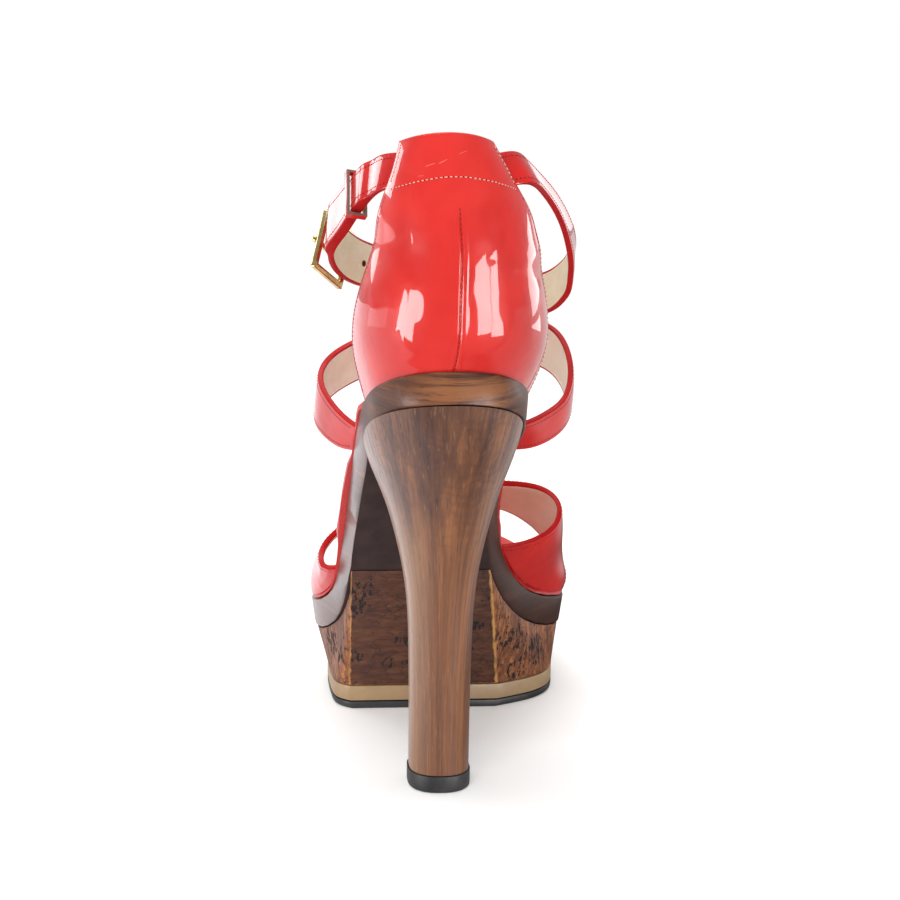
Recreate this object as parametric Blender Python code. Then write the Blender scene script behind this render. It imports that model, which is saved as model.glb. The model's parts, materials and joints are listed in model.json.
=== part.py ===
"""Platform sandal for the left foot: a wooden sole board over a cork wedge and a tall wooden heel, with a
closed back, an ankle strap, an instep strap and a toe band.

Tables are in millimetres.  The origin is the middle of the heel tip's lower face, +Y points to the toe,
+X to the inner (medial) side and +Z up.
"""
import bmesh
import bpy
import numpy as np

MM = 0.001

# Fineness of the curves
CURVE_SAMPLES = 600
CURVE_FINENESS = 12
SHARP_ANGLE_DEG = 40.0
END_TRIM = 0.15
END_CROWDING = 0.8
BOARD_STATIONS = 64
INSOLE_STATIONS = 60
WEDGE_STATIONS = 40
HEEL_RINGS = 18
HEEL_AROUND = 32

# Gaps and walls
GAP = 0.3
STRAP_WALL = 2.0
COUNTER_WALL = 2.0
INSOLE_THICK = 1.8
BOARD_THICK = 10.0
BOARD_EDGE_ROUND = 0.8
ROUND_SHARE = 0.4

# Layers under the forefoot
OUTSOLE_TOP = 2.6
MIDSOLE_TOP = 8.3
TOE_SPRING = 6.5
TOE_SPRING_START = 126.0
TOE_SPRING_LENGTH = 36.0
OUTSOLE_TUCK = 0.7

# Side view of the footbed: y, z of the board's top face from heel to toe
FOOTBED = (
    (-29.0, 142.2),
    (-8.0, 132.6),
    (8.0, 124.2),
    (22.0, 114.0),
    (36.0, 99.6),
    (50.0, 81.6),
    (62.0, 64.6),
    (74.0, 49.0),
    (86.0, 38.6),
    (98.0, 33.6),
    (112.0, 32.4),
    (130.0, 33.6),
    (148.0, 36.8),
    (168.0, 42.0),
)

# Plan of the board's top edge: x, y from the heel's back along the inner side to the toe and back
BOARD_EDGE = (
    (0.8, -27.5),
    (15.5, -23.0),
    (24.2, -11.0),
    (27.0, 4.0),
    (27.2, 22.0),
    (24.6, 39.0),
    (23.2, 52.0),
    (26.6, 65.5),
    (34.8, 79.0),
    (44.0, 90.0),
    (51.2, 98.5),
    (53.8, 110.0),
    (50.8, 128.0),
    (43.0, 146.0),
    (33.0, 157.5),
    (18.0, 164.5),
    (1.0, 160.0),
    (-15.0, 148.5),
    (-29.5, 130.0),
    (-37.0, 110.0),
    (-36.0, 94.0),
    (-31.0, 80.0),
    (-28.8, 64.0),
    (-27.0, 42.0),
    (-25.6, 18.0),
    (-24.8, 4.0),
    (-22.0, -11.0),
    (-13.5, -23.0),
)

# Insets from the board's edge, as y and inset: none, and that of the back's and the straps' feet
NO_INSET = ((0.0, 0.0),)
FOOT_INSET = 0.4
FEET_INSET = ((0.0, FOOT_INSET),)

# How far the board's lower edge is drawn in under its top edge: y, inset
BOARD_DRAFT = ((-30.0, 0.8), (8.0, 1.0), (30.0, 3.0), (62.0, 3.4), (84.0, 1.8), (100.0, 1.2), (170.0, 1.2))

# How far the insole stops short of the board's edge, leaving room for the back and the strap ends: y, inset
INSOLE_INSET = (
    (-30.0, 3.4),
    (8.0, 3.4),
    (12.0, -0.5),
    (19.0, -0.5),
    (22.5, 2.6),
    (35.5, 2.6),
    (39.0, -0.5),
    (58.0, -0.5),
    (62.0, 2.6),
    (114.0, 2.6),
    (119.0, -0.2),
    (170.0, -0.2),
)

# Cork wedge: the footbed station above each section, and the base of the section (y, outer x, inner x)
WEDGE = (
    (64.0, 75.0, -24.7, 26.6),
    (70.0, 78.5, -28.6, 33.4),
    (78.0, 83.0, -30.4, 40.4),
    (87.0, 89.0, -31.0, 45.6),
    (98.0, 98.0, -31.4, 48.6),
    (110.0, 109.5, -31.2, 49.2),
    (124.0, 123.0, -28.0, 46.6),
    (138.0, 137.0, -20.4, 40.8),
    (149.0, 148.0, -10.6, 34.4),
    (157.0, 155.5, 0.2, 28.2),
    (161.5, 159.8, 8.8, 23.8),
    (163.2, 161.6, 13.0, 20.6),
)

# Heel block below the seat: z at its widest place, half width, y of the back, y of the breast
HEEL = (
    (5.8, 9.7, -9.8, 10.2),
    (30.0, 9.8, -10.2, 10.2),
    (44.0, 10.0, -10.9, 10.3),
    (57.0, 10.4, -11.9, 10.5),
    (70.0, 11.6, -13.8, 11.0),
    (83.0, 14.1, -17.0, 11.8),
    (96.0, 17.4, -21.4, 13.2),
    (105.0, 20.6, -25.2, 14.8),
    (112.0, 23.2, -28.4, 16.2),
    (118.0, 24.6, -30.4, 17.4),
)
SEAT_SPAN = (-29.0, 60.0)
HEEL_CENTRE_Y = 1.0
HEEL_BACK_POWER = 2.3
HEEL_BREAST_POWER = 4.5
TIP_HEIGHT = 5.5
TIP_PROUD = 0.4
TIP_CHAMFER = 0.5

# Closed back, one row per level from the seat to the top fold: height and y at the middle of the back,
# height and y at the front edge, x of the outer and inner front edges, half angle of the bend
COUNTER = (
    (142.2, 126.0, -27.2, 6.0, -25.2, 26.8, 90.0),
    (147.0, 132.5, -29.0, 8.0, -26.9, 30.2, 90.0),
    (154.0, 142.0, -30.2, 8.0, -28.7, 33.0, 88.0),
    (165.0, 154.5, -30.4, 5.0, -28.2, 32.7, 84.0),
    (178.0, 170.0, -28.8, 0.5, -24.3, 29.4, 77.0),
    (190.0, 183.5, -26.4, -5.0, -20.3, 24.0, 69.0),
    (199.4, 194.2, -24.0, -9.0, -17.2, 20.0, 62.0),
    (212.8, 209.0, -20.8, -9.6, -14.0, 13.8, 56.0),
)
COUNTER_SEAT_BLEND = 0.5
COUNTER_SEAT_EASE = 1.5
COUNTER_FOLD_ROW = 6
COUNTER_MIDDLE = (0.0, 20.0, 0.0)
COUNTER_ROWS = 20
COUNTER_COLUMNS = 30

# Tunnel that the ankle strap runs through, measured inward from the outside of the back
TUNNEL_SKIN = 1.2
TUNNEL_DEPTH = 3.0
TUNNEL_TOP_SKIN = 0.10
TUNNEL_OVERRUN = 1.3
TUNNEL_FLOOR = 0.004
TUNNEL_ROWS = 6
RAMP_START = 0.10
RAMP_END = 0.03
STRAP_MARGIN = 0.09
HALF_STATIONS = 5

# Ankle strap outside the tunnel, from the inner exit round the front to the outer exit:
# x, y, z of the upper edge and of the lower edge
ANKLE_STRAP = (
    (20.5, 0.0, 204.6, 25.4, -4.0, 195.4),
    (28.8, 15.5, 197.4, 32.3, 8.0, 189.5),
    (37.6, 29.0, 187.6, 38.8, 20.0, 179.3),
    (44.0, 40.0, 176.8, 42.9, 30.0, 167.7),
    (46.2, 48.5, 169.0, 44.4, 39.0, 159.5),
    (44.6, 57.0, 161.8, 44.4, 49.0, 150.8),
    (37.0, 65.0, 156.0, 38.0, 61.5, 142.6),
    (18.0, 69.0, 157.6, 18.0, 68.0, 143.6),
    (1.0, 67.0, 161.2, 0.0, 66.0, 147.2),
    (-16.5, 61.0, 165.8, -18.5, 57.5, 151.8),
    (-26.4, 50.5, 171.5, -29.4, 45.5, 157.6),
    (-32.6, 38.0, 180.4, -34.2, 32.0, 167.0),
    (-28.8, 24.0, 189.8, -29.8, 19.0, 177.2),
    (-24.2, 11.5, 197.6, -25.4, 7.5, 186.4),
    (-19.6, 0.5, 203.6, -21.2, -2.0, 192.4),
)
ANKLE_STATIONS = 96
ANKLE_ROWS = 5
TAIL_START = 0.745
TAIL_END = 0.870
TAIL_THICK = 1.8
KEEPER_STATION = 0.835
KEEPER_LENGTH = 4.5
KEEPER_WALL = 1.0
KEEPER_CLEAR = 0.5
BUCKLE_STATION = 0.695
BUCKLE_LENGTH = 19.0
BUCKLE_HEIGHT = 20.0
BUCKLE_BAR = 2.0
BUCKLE_TILT_DEG = 6.0
BUCKLE_LIFT = 0.6
PRONG_WIDTH = 1.6
PRONG_LENGTH = 18.5

# Instep strap: rear edge and front edge from the outer foot over the instep to the inner foot, x, y, z
INSTEP_REAR = (
    (-31.6, 34.0, 116.4),
    (-36.6, 45.0, 123.0),
    (-35.4, 54.0, 127.6),
    (-25.6, 67.0, 132.4),
    (8.0, 80.0, 140.0),
    (40.8, 67.5, 138.4),
    (46.6, 54.0, 130.2),
    (44.4, 42.0, 119.4),
    (36.4, 33.5, 115.0),
)
INSTEP_FRONT = (
    (-31.6, 40.5, 103.2),
    (-37.6, 50.0, 107.6),
    (-37.0, 58.0, 111.0),
    (-27.4, 72.5, 116.4),
    (8.0, 87.0, 125.0),
    (41.0, 73.5, 122.0),
    (47.0, 60.0, 115.0),
    (44.6, 47.5, 107.6),
    (35.6, 40.0, 103.2),
)
INSTEP_FEET = (24.8, 33.4)
INSTEP_CROWN = (0.4, 0.6, 0.4)

# Toe band: rear edge and front edge from the outer foot over the toes to the inner foot, x, y, z
TOE_REAR = (
    (-33.8, 75.0, 51.8),
    (-35.2, 80.0, 53.2),
    (-33.6, 86.0, 57.0),
    (-25.4, 90.5, 63.0),
    (2.0, 92.0, 74.6),
    (29.0, 90.0, 77.4),
    (43.5, 86.0, 76.0),
    (47.8, 80.0, 72.4),
    (46.4, 74.0, 67.0),
    (37.5, 68.0, 62.6),
)
TOE_FRONT = (
    (-35.8, 113.0, 38.0),
    (-34.4, 114.5, 44.0),
    (-29.0, 118.0, 51.0),
    (-18.0, 121.0, 57.0),
    (6.0, 121.5, 62.0),
    (30.0, 118.5, 61.6),
    (41.5, 115.0, 56.6),
    (49.0, 112.5, 49.0),
    (53.2, 111.5, 41.5),
    (54.4, 111.0, 38.0),
)
TOE_FEET_OUTER = (72.0, 112.0)
TOE_FEET_INNER = (65.4, 111.0)
TOE_CROWN = (0.6, 1.6, 3.8)
CROWN_PLACES = (0.0, 0.15, 0.5, 0.85, 1.0)
STRAP_STATIONS = 44
STRAP_ROWS = 6
FOOT_REACH = 0.28
FOOT_LIFT_REAR = 1.5
FOOT_LIFT_FRONT = 0.7

# Colours: red, green, blue, roughness, metallic
FINISHES = {
    "outsole": (0.045, 0.043, 0.042, 0.7, 0.0),
    "midsole": (0.40, 0.26, 0.14, 0.6, 0.0),
    "platform": (0.13, 0.055, 0.035, 0.7, 0.0),
    "wood_sole": (0.075, 0.042, 0.036, 0.25, 0.0),
    "heel": (0.20, 0.10, 0.06, 0.25, 0.0),
    "heel_tip": (0.03, 0.03, 0.03, 0.6, 0.0),
    "insole": (0.72, 0.05, 0.04, 0.3, 0.0),
    "counter": (0.78, 0.05, 0.04, 0.08, 0.0),
    "ankle_strap": (0.78, 0.05, 0.04, 0.08, 0.0),
    "instep_strap": (0.78, 0.05, 0.04, 0.08, 0.0),
    "toe_strap": (0.78, 0.05, 0.04, 0.08, 0.0),
    "keeper": (0.62, 0.05, 0.04, 0.2, 0.0),
    "buckle_frame": (0.80, 0.66, 0.42, 0.25, 1.0),
    "buckle_prong": (0.80, 0.66, 0.42, 0.25, 1.0),
}


def smooth_path(points, samples, closed=False):
    """Even samples along a smooth curve through the given rows, whatever their number of columns."""
    rows = np.asarray(points, float)
    if closed:
        rows = np.vstack((rows[-2:], rows, rows[:3]))
    steps = np.sqrt(np.linalg.norm(np.diff(rows, axis=0), axis=1))
    knots = np.concatenate(([0.0], np.cumsum(steps)))
    slopes = np.gradient(rows, knots, axis=0, edge_order=2)
    first, last = (2, len(rows) - 3) if closed else (0, len(rows) - 1)
    fine = np.linspace(knots[first], knots[last], samples * CURVE_FINENESS + 1)
    cell = np.clip(np.searchsorted(knots, fine, side="right") - 1, 0, len(rows) - 2)
    width = (knots[cell + 1] - knots[cell])[:, None]
    t = ((fine - knots[cell])[:, None]) / width
    curve = (
        (2 * t**3 - 3 * t**2 + 1) * rows[cell]
        + (t**3 - 2 * t**2 + t) * width * slopes[cell]
        + (-2 * t**3 + 3 * t**2) * rows[cell + 1]
        + (t**3 - t**2) * width * slopes[cell + 1]
    )
    lengths = np.concatenate(([0.0], np.cumsum(np.linalg.norm(np.diff(curve, axis=0), axis=1))))
    wanted = np.linspace(0.0, lengths[-1], samples + 1 if closed else samples)
    if closed:
        wanted = wanted[:-1]
    return np.stack([np.interp(wanted, lengths, column) for column in curve.T], axis=1)


BED_CURVE = smooth_path(FOOTBED, CURVE_SAMPLES)
BED_SLOPE = np.gradient(BED_CURVE[:, 1], BED_CURVE[:, 0])


def bed_point(x, y, depth):
    """Point at a depth below the footbed, square to its side view."""
    y = np.asarray(y, float)
    z = np.interp(y, BED_CURVE[:, 0], BED_CURVE[:, 1])
    slope = np.interp(y, BED_CURVE[:, 0], BED_SLOPE)
    long = np.sqrt(1.0 + slope**2)
    return np.stack([x + 0.0 * y, y + depth * slope / long, z - depth / long], axis=-1)


def board_outline(inset_table):
    """Closed plan of the board's edge, drawn in by the inset of each place."""
    edge = smooth_path(BOARD_EDGE, CURVE_SAMPLES, closed=True)
    along = np.roll(edge, -1, axis=0) - np.roll(edge, 1, axis=0)
    along /= np.linalg.norm(along, axis=1)[:, None]
    inward = np.stack([-along[:, 1], along[:, 0]], axis=1)
    inset = np.interp(edge[:, 1], *np.asarray(inset_table).T)
    return edge + inward * inset[:, None]


def edges_at(outline, y):
    """Outer and inner x of a closed plan at the given y."""
    back, toe = int(np.argmin(outline[:, 1])), int(np.argmax(outline[:, 1]))
    turned = np.roll(outline, -back, axis=0)
    split = (toe - back) % len(outline)
    inner = turned[: split + 1]
    outer = np.vstack((turned[split:], turned[:1]))[::-1]
    return np.interp(y, outer[:, 1], outer[:, 0]), np.interp(y, inner[:, 1], inner[:, 0])


def stations(y_start, y_end, count, crowding):
    """Values of y spaced evenly along the footbed's side view, closer together at both ends."""
    y = np.linspace(y_start, y_end, CURVE_SAMPLES)
    z = np.interp(y, BED_CURVE[:, 0], BED_CURVE[:, 1])
    length = np.concatenate(([0.0], np.cumsum(np.hypot(np.diff(y), np.diff(z)))))
    t = np.linspace(0.0, 1.0, count)
    share = t - crowding * np.sin(2 * np.pi * t) / (2 * np.pi)
    return np.interp(share * length[-1], length, y)


def make_object(name, vertices, faces):
    """Closed mesh object with its own finish."""
    mesh = bpy.data.meshes.new(name)
    shape = bmesh.new()
    corners = [shape.verts.new(tuple(v * MM for v in vertex)) for vertex in vertices]
    for face in faces:
        shape.faces.new([corners[i] for i in face])
    bmesh.ops.recalc_face_normals(shape, faces=shape.faces)
    shape.to_mesh(mesh)
    shape.free()
    mesh.shade_smooth()
    mesh.set_sharp_from_angle(angle=np.radians(SHARP_ANGLE_DEG))
    piece = bpy.data.objects.new(name, mesh)
    bpy.context.collection.objects.link(piece)
    if name in FINISHES:
        red, green, blue, roughness, metallic = FINISHES[name]
        material = bpy.data.materials.new(name + "_finish")
        material.use_nodes = True
        shader = material.node_tree.nodes["Principled BSDF"]
        shader.inputs["Base Color"].default_value = (red, green, blue, 1.0)
        shader.inputs["Roughness"].default_value = roughness
        shader.inputs["Metallic"].default_value = metallic
        mesh.materials.append(material)
    return piece


def loft(name, rings):
    """Solid through a row of like sections, with a flat cap at each end."""
    rings = np.asarray(rings)
    count, around = rings.shape[:2]
    faces = []
    for i in range(count - 1):
        for j in range(around):
            k = (j + 1) % around
            faces.append((i * around + j, i * around + k, (i + 1) * around + k, (i + 1) * around + j))
    faces.append(tuple(range(around))[::-1])
    faces.append(tuple((count - 1) * around + j for j in range(around)))
    return make_object(name, rings.reshape(-1, 3), faces)


def ladder_block(name, rings):
    """Solid through stacked rings that are alike left and right, closed by strips across both end rings."""
    rings = np.asarray(rings)
    count, around = rings.shape[:2]
    half = around // 2
    faces = []
    for i in range(count - 1):
        for j in range(around):
            k = (j + 1) % around
            faces.append((i * around + j, i * around + k, (i + 1) * around + k, (i + 1) * around + j))
    for base in (0, (count - 1) * around):
        for j in range(half - 1):
            faces.append((base + j, base + j + 1, base + around - 2 - j, base + around - 1 - j))
    return make_object(name, rings.reshape(-1, 3), faces)


def sheet_normals(grid, closed=False):
    """Unit normals of a grid of points."""
    if closed:
        along = np.roll(grid, -1, axis=0) - np.roll(grid, 1, axis=0)
    else:
        along = np.gradient(grid, axis=0)
    across = np.gradient(grid, axis=1)
    normal = np.cross(along, across)
    return normal / np.linalg.norm(normal, axis=2)[:, :, None]


def sheet(name, outer, inner, closed=False):
    """Wall between two grids of points, closed along its edges."""
    count, rows = outer.shape[:2]
    size = count * rows
    faces = []
    for i in range(count if closed else count - 1):
        n = (i + 1) % count
        for j in range(rows - 1):
            quad = (i * rows + j, n * rows + j, n * rows + j + 1, i * rows + j + 1)
            faces.append(quad)
            faces.append(tuple(size + q for q in quad[::-1]))
        for j in (0, rows - 1):
            faces.append((i * rows + j, n * rows + j, size + n * rows + j, size + i * rows + j))
    if not closed:
        for i in (0, count - 1):
            for j in range(rows - 1):
                here = i * rows + j
                faces.append((here, here + 1, size + here + 1, size + here))
    return make_object(name, np.vstack((outer.reshape(-1, 3), inner.reshape(-1, 3))), faces)


def build_board():
    """Wooden sole board, heel to toe, with rounded arrises and sides drawn in below."""
    plan = board_outline(NO_INSET)
    y = stations(plan[:, 1].min() + END_TRIM, plan[:, 1].max() - END_TRIM, BOARD_STATIONS, END_CROWDING)
    outer, inner = edges_at(plan, y)
    low = board_outline(BOARD_DRAFT)
    low_y = np.clip(y, low[:, 1].min() + END_TRIM, low[:, 1].max() - END_TRIM)
    low_outer, low_inner = edges_at(low, low_y)
    r = BOARD_EDGE_ROUND
    inset = np.minimum(r, ROUND_SHARE * (inner - outer))
    low_inset = np.minimum(r, ROUND_SHARE * (low_inner - low_outer))
    ring = (
        bed_point(outer + inset, y, 0.0),
        bed_point(inner - inset, y, 0.0),
        bed_point(inner, y, r),
        bed_point(low_inner, low_y, BOARD_THICK - r),
        bed_point(low_inner - low_inset, low_y, BOARD_THICK),
        bed_point(low_outer + low_inset, low_y, BOARD_THICK),
        bed_point(low_outer, low_y, BOARD_THICK - r),
        bed_point(outer, y, r),
    )
    loft("wood_sole", np.stack(ring, axis=1))


def build_insole():
    """Thin leather insole on the board."""
    plan = board_outline(INSOLE_INSET)
    y = stations(plan[:, 1].min() + END_TRIM, plan[:, 1].max() - END_TRIM, INSOLE_STATIONS, END_CROWDING)
    outer, inner = edges_at(plan, y)
    ring = (
        bed_point(outer, y, -GAP),
        bed_point(inner, y, -GAP),
        bed_point(inner, y, -GAP - INSOLE_THICK),
        bed_point(outer, y, -GAP - INSOLE_THICK),
    )
    loft("insole", np.stack(ring, axis=1))


def toe_lift(y):
    """Height of the sole off the floor ahead of the ball."""
    reach = np.clip((np.asarray(y, float) - TOE_SPRING_START) / TOE_SPRING_LENGTH, 0.0, None)
    return TOE_SPRING * reach**2


def base_point(x, y, z):
    """Point of a layer under the forefoot, lifted by the toe spring."""
    return np.stack([x, y, z + toe_lift(y)], axis=-1)


def build_forefoot():
    """Cork wedge, and the two thin layers below it."""
    bed_y, y, outer, inner = smooth_path(WEDGE, WEDGE_STATIONS).T
    low = board_outline(BOARD_DRAFT)
    top_outer, top_inner = edges_at(low, bed_y)
    top_outer += BOARD_EDGE_ROUND
    top_inner -= BOARD_EDGE_ROUND
    wedge = (
        bed_point(top_outer, bed_y, BOARD_THICK + GAP),
        bed_point(top_inner, bed_y, BOARD_THICK + GAP),
        base_point(inner, y, MIDSOLE_TOP + GAP),
        base_point(outer, y, MIDSOLE_TOP + GAP),
    )
    loft("platform", np.stack(wedge, axis=1))
    layers = {
        "midsole": (MIDSOLE_TOP, OUTSOLE_TOP + GAP, 0.0),
        "outsole": (OUTSOLE_TOP, 0.0, OUTSOLE_TUCK),
    }
    for name, (top, bottom, tuck) in layers.items():
        ring = (
            base_point(outer, y, top),
            base_point(inner, y, top),
            base_point(inner, y, bottom + tuck),
            base_point(inner - tuck, y, bottom),
            base_point(outer + tuck, y, bottom),
            base_point(outer, y, bottom + tuck),
        )
        if tuck == 0.0:
            ring = ring[:2] + ring[3:5]
        loft(name, np.stack(ring, axis=1))


def heel_ring(half_width, back, breast):
    """Heel section in plan: a round back and a flat breast with round corners, alike left and right."""
    angle = (np.arange(HEEL_AROUND) + 0.5) * 2 * np.pi / HEEL_AROUND + np.pi / 2
    side, depth = np.cos(angle), np.sin(angle)
    power = np.where(depth > 0, HEEL_BREAST_POWER, HEEL_BACK_POWER)
    reach = np.where(depth > 0, breast - HEEL_CENTRE_Y, HEEL_CENTRE_Y - back)
    x = half_width * np.sign(side) * np.abs(side) ** (2 / power)
    y = HEEL_CENTRE_Y + reach * np.sign(depth) * np.abs(depth) ** (2 / power)
    return x, y


def build_heel():
    """Heel block whose sections tilt with the seat above it, and the tip under it."""
    under = bed_point(0.0, np.linspace(*SEAT_SPAN, CURVE_SAMPLES), BOARD_THICK + GAP)
    foot, seat = HEEL[0][0], HEEL[-1][0]
    rings = []
    for z, half_width, back, breast in smooth_path(HEEL, HEEL_RINGS):
        x, y = heel_ring(half_width, back, breast)
        top = np.interp(y, under[:, 1], under[:, 2])
        rings.append(np.stack([x, y, foot + (top - foot) * (z - foot) / (seat - foot)], axis=1))
    ladder_block("heel", rings)
    _, half_width, back, breast = HEEL[0]
    tip = []
    for z, grow in ((0.0, TIP_PROUD - TIP_CHAMFER), (TIP_CHAMFER, TIP_PROUD), (TIP_HEIGHT, TIP_PROUD)):
        x, y = heel_ring(half_width + grow, back - grow, breast + grow)
        tip.append(np.stack([x, y, np.full_like(x, z)], axis=1))
    ladder_block("heel_tip", tip)


COUNTER_CURVE = smooth_path(COUNTER, CURVE_SAMPLES)


def counter_level(row):
    """Share of the way up the closed back at which a row of its table lies."""
    gaps = np.linalg.norm(COUNTER_CURVE - np.asarray(COUNTER[row], float), axis=1)
    return float(np.argmin(gaps)) / (len(COUNTER_CURVE) - 1)


def counter_seat(turn):
    """Foot of the closed back on the board's edge, from the outer front corner round to the inner one."""
    edge = board_outline(FEET_INSET)
    middle = len(edge) // 2
    turned = np.roll(edge, middle - int(np.argmin(edge[:, 1])), axis=0)
    front = COUNTER[0][3]
    inner = turned[middle:]
    inner = inner[: int(np.argmax(inner[:, 1] > front)) + 1]
    outer = turned[: middle + 1][::-1]
    outer = outer[: int(np.argmax(outer[:, 1] > front)) + 1]
    path = np.vstack((outer[::-1], inner[1:]))
    across = (path[:, 0] - path[[0, -1], 0].mean()) / (path[-1, 0] - path[0, 0])
    depth = (front - path[:, 1]) / (front - path[:, 1].min()) / 2
    angle = np.arctan2(across, depth) / (np.pi / 2)
    x, y = np.interp(turn, angle, path[:, 0]), np.interp(turn, angle, path[:, 1])
    return bed_point(x, y, -GAP - FOOT_INSET)


def counter_point(turn, level):
    """Outside of the closed back: turn from -1 at the outer edge to 1 at the inner, level from 0 to 1."""
    place = level * (len(COUNTER_CURVE) - 1)
    index = np.arange(len(COUNTER_CURVE))
    row = [np.interp(place, index, values) for values in COUNTER_CURVE.T]
    z_back, z_front, y_back, y_front, x_outer, x_inner, half_angle = row
    half_angle = np.radians(half_angle)
    angle = turn * half_angle
    near = (np.cos(angle) - np.cos(half_angle)) / (1.0 - np.cos(half_angle))
    x = (x_outer + x_inner) / 2 + (x_inner - x_outer) / 2 * np.sin(angle) / np.sin(half_angle)
    return np.stack([x, y_front + (y_back - y_front) * near, z_front + (z_back - z_front) * near], axis=-1)


def counter_grid(turns, levels):
    """Points on the outside of the closed back, standing on the board's edge at level 0."""
    turn, level = np.meshgrid(turns, levels, indexing="ij")
    grid = counter_point(turn, level)
    blend = np.clip(1.0 - level / COUNTER_SEAT_BLEND, 0.0, 1.0) ** COUNTER_SEAT_EASE
    seat = counter_seat(turn)
    floor = counter_point(turn, np.zeros_like(level))
    return grid + blend[:, :, None] * (seat - floor)


def counter_inward(grid):
    """Unit vectors into the closed back."""
    normal = sheet_normals(grid)
    toward = np.array(COUNTER_MIDDLE) - grid
    toward[:, :, 2] = 0.0
    facing = np.sign(np.sum(normal * toward, axis=2))
    return normal * facing[:, :, None]


def build_counter():
    """Closed back with a tunnel for the ankle strap under its top fold."""
    turns = np.linspace(-1.0, 1.0, COUNTER_COLUMNS + 1)
    levels = np.linspace(0.0, 1.0, COUNTER_ROWS + 1)
    fold = counter_level(COUNTER_FOLD_ROW)
    outer = counter_grid(turns, levels)
    inward = counter_inward(outer)
    deep = 2 * TUNNEL_SKIN + TUNNEL_DEPTH
    wall = np.interp(levels, (fold - RAMP_START, fold - RAMP_END), (COUNTER_WALL, deep))
    back = sheet("counter", outer, outer + inward * wall[None, :, None])
    over = np.linspace(-TUNNEL_OVERRUN, TUNNEL_OVERRUN, COUNTER_COLUMNS + 1)
    reach = np.linspace(fold + TUNNEL_FLOOR, 1.0 - TUNNEL_TOP_SKIN * (1.0 - fold), TUNNEL_ROWS)
    skin = counter_grid(over, reach)
    inward = counter_inward(skin)
    near, far = TUNNEL_SKIN, TUNNEL_SKIN + TUNNEL_DEPTH
    cutter = sheet("tunnel_cutter", skin + inward * near, skin + inward * far)
    cutter.hide_render = True
    cutter.display_type = "WIRE"
    cut = back.modifiers.new("tunnel", "BOOLEAN")
    cut.operation = "DIFFERENCE"
    cut.solver = "EXACT"
    cut.object = cutter


def ankle_path():
    """Upper and lower edge of the ankle strap's middle layer, a closed loop that starts at the back."""
    fold = counter_level(COUNTER_FOLD_ROW)
    margin = STRAP_MARGIN * (1.0 - fold)
    top = 1.0 - TUNNEL_TOP_SKIN * (1.0 - fold) - margin
    levels = np.linspace(top, fold + TUNNEL_FLOOR + margin, 3)
    turns = np.linspace(-1.0, 1.0, 2 * HALF_STATIONS + 1)
    skin = counter_grid(turns, levels)
    middle = skin + counter_inward(skin) * (TUNNEL_SKIN + TUNNEL_DEPTH / 2)
    inside = np.concatenate((middle[:, 0], middle[:, 2]), axis=1)
    rows = np.vstack((inside[HALF_STATIONS:], np.asarray(ANKLE_STRAP), inside[:HALF_STATIONS]))
    return smooth_path(rows, ANKLE_STATIONS, closed=True)


def ankle_frame(path, share):
    """Middle of the strap at a share of its loop, and the directions along, across and out of it."""
    grid = strap_grid(path, 3)
    outward = outward_normals(grid)
    i = int(round(share * len(path))) % len(path)
    along = grid[(i + 1) % len(path), 1] - grid[i - 1, 1]
    along /= np.linalg.norm(along)
    out = outward[i, 1] - along * np.dot(outward[i, 1], along)
    out /= np.linalg.norm(out)
    return grid[i, 1], along, np.cross(out, along), out


def strap_grid(path, rows):
    """Rows of points between the two edges of a strap."""
    share = np.linspace(0.0, 1.0, rows)[None, :, None]
    return path[:, None, :3] * (1.0 - share) + path[:, None, 3:] * share


def outward_normals(grid):
    """Unit normals of a closed strap, away from its middle."""
    normal = sheet_normals(grid, closed=True)
    middle = grid.reshape(-1, 3).mean(axis=0)
    facing = np.sign(np.sum(normal * (grid - middle), axis=2))
    return normal * facing[:, :, None]


def build_ankle_strap():
    """Ankle strap as a closed loop, doubled where its tail lies along the outside."""
    path = ankle_path()
    grid = strap_grid(path, ANKLE_ROWS)
    outward = outward_normals(grid)
    share = np.arange(len(path)) / len(path)
    doubled = (share > TAIL_START) & (share < TAIL_END)
    proud = STRAP_WALL / 2 + np.where(doubled, TAIL_THICK, 0.0)
    inside = grid - outward * STRAP_WALL / 2
    sheet("ankle_strap", grid + outward * proud[:, None, None], inside, closed=True)
    build_keeper(path)
    build_buckle(path)


def placed(frame, along, across, out):
    """Points given along the strap, across it and out from it."""
    middle, t, w, n = frame
    return middle + np.multiply.outer(along, t) + np.multiply.outer(across, w) + np.multiply.outer(out, n)


def build_keeper(path):
    """Loop that holds the strap's tail down."""
    frame = ankle_frame(path, KEEPER_STATION)
    width = np.linalg.norm(path[:, :3] - path[:, 3:], axis=1)[int(KEEPER_STATION * len(path))]
    low = -STRAP_WALL / 2 - KEEPER_CLEAR
    high = STRAP_WALL / 2 + TAIL_THICK + KEEPER_CLEAR
    side = width / 2 + KEEPER_CLEAR
    inner = np.array([(-side, low), (side, low), (side, high), (-side, high)])
    grow = np.array([(-1, -1), (1, -1), (1, 1), (-1, 1)]) * KEEPER_WALL
    half = KEEPER_LENGTH / 2
    rings = []
    for i in range(4):
        inside, outside = inner[i], inner[i] + grow[i]
        along = np.array([-half, half, half, -half])
        across = np.array([inside[0], inside[0], outside[0], outside[0]])
        out = np.array([inside[1], inside[1], outside[1], outside[1]])
        rings.append(placed(frame, along, across, out))
    ring_solid("keeper", rings)


def ring_solid(name, rings):
    """Closed ring through a few like sections."""
    rings = np.asarray(rings)
    count, around = rings.shape[:2]
    faces = []
    for i in range(count):
        n = (i + 1) % count
        for j in range(around):
            k = (j + 1) % around
            faces.append((i * around + j, i * around + k, n * around + k, n * around + j))
    return make_object(name, rings.reshape(-1, 3), faces)


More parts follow.
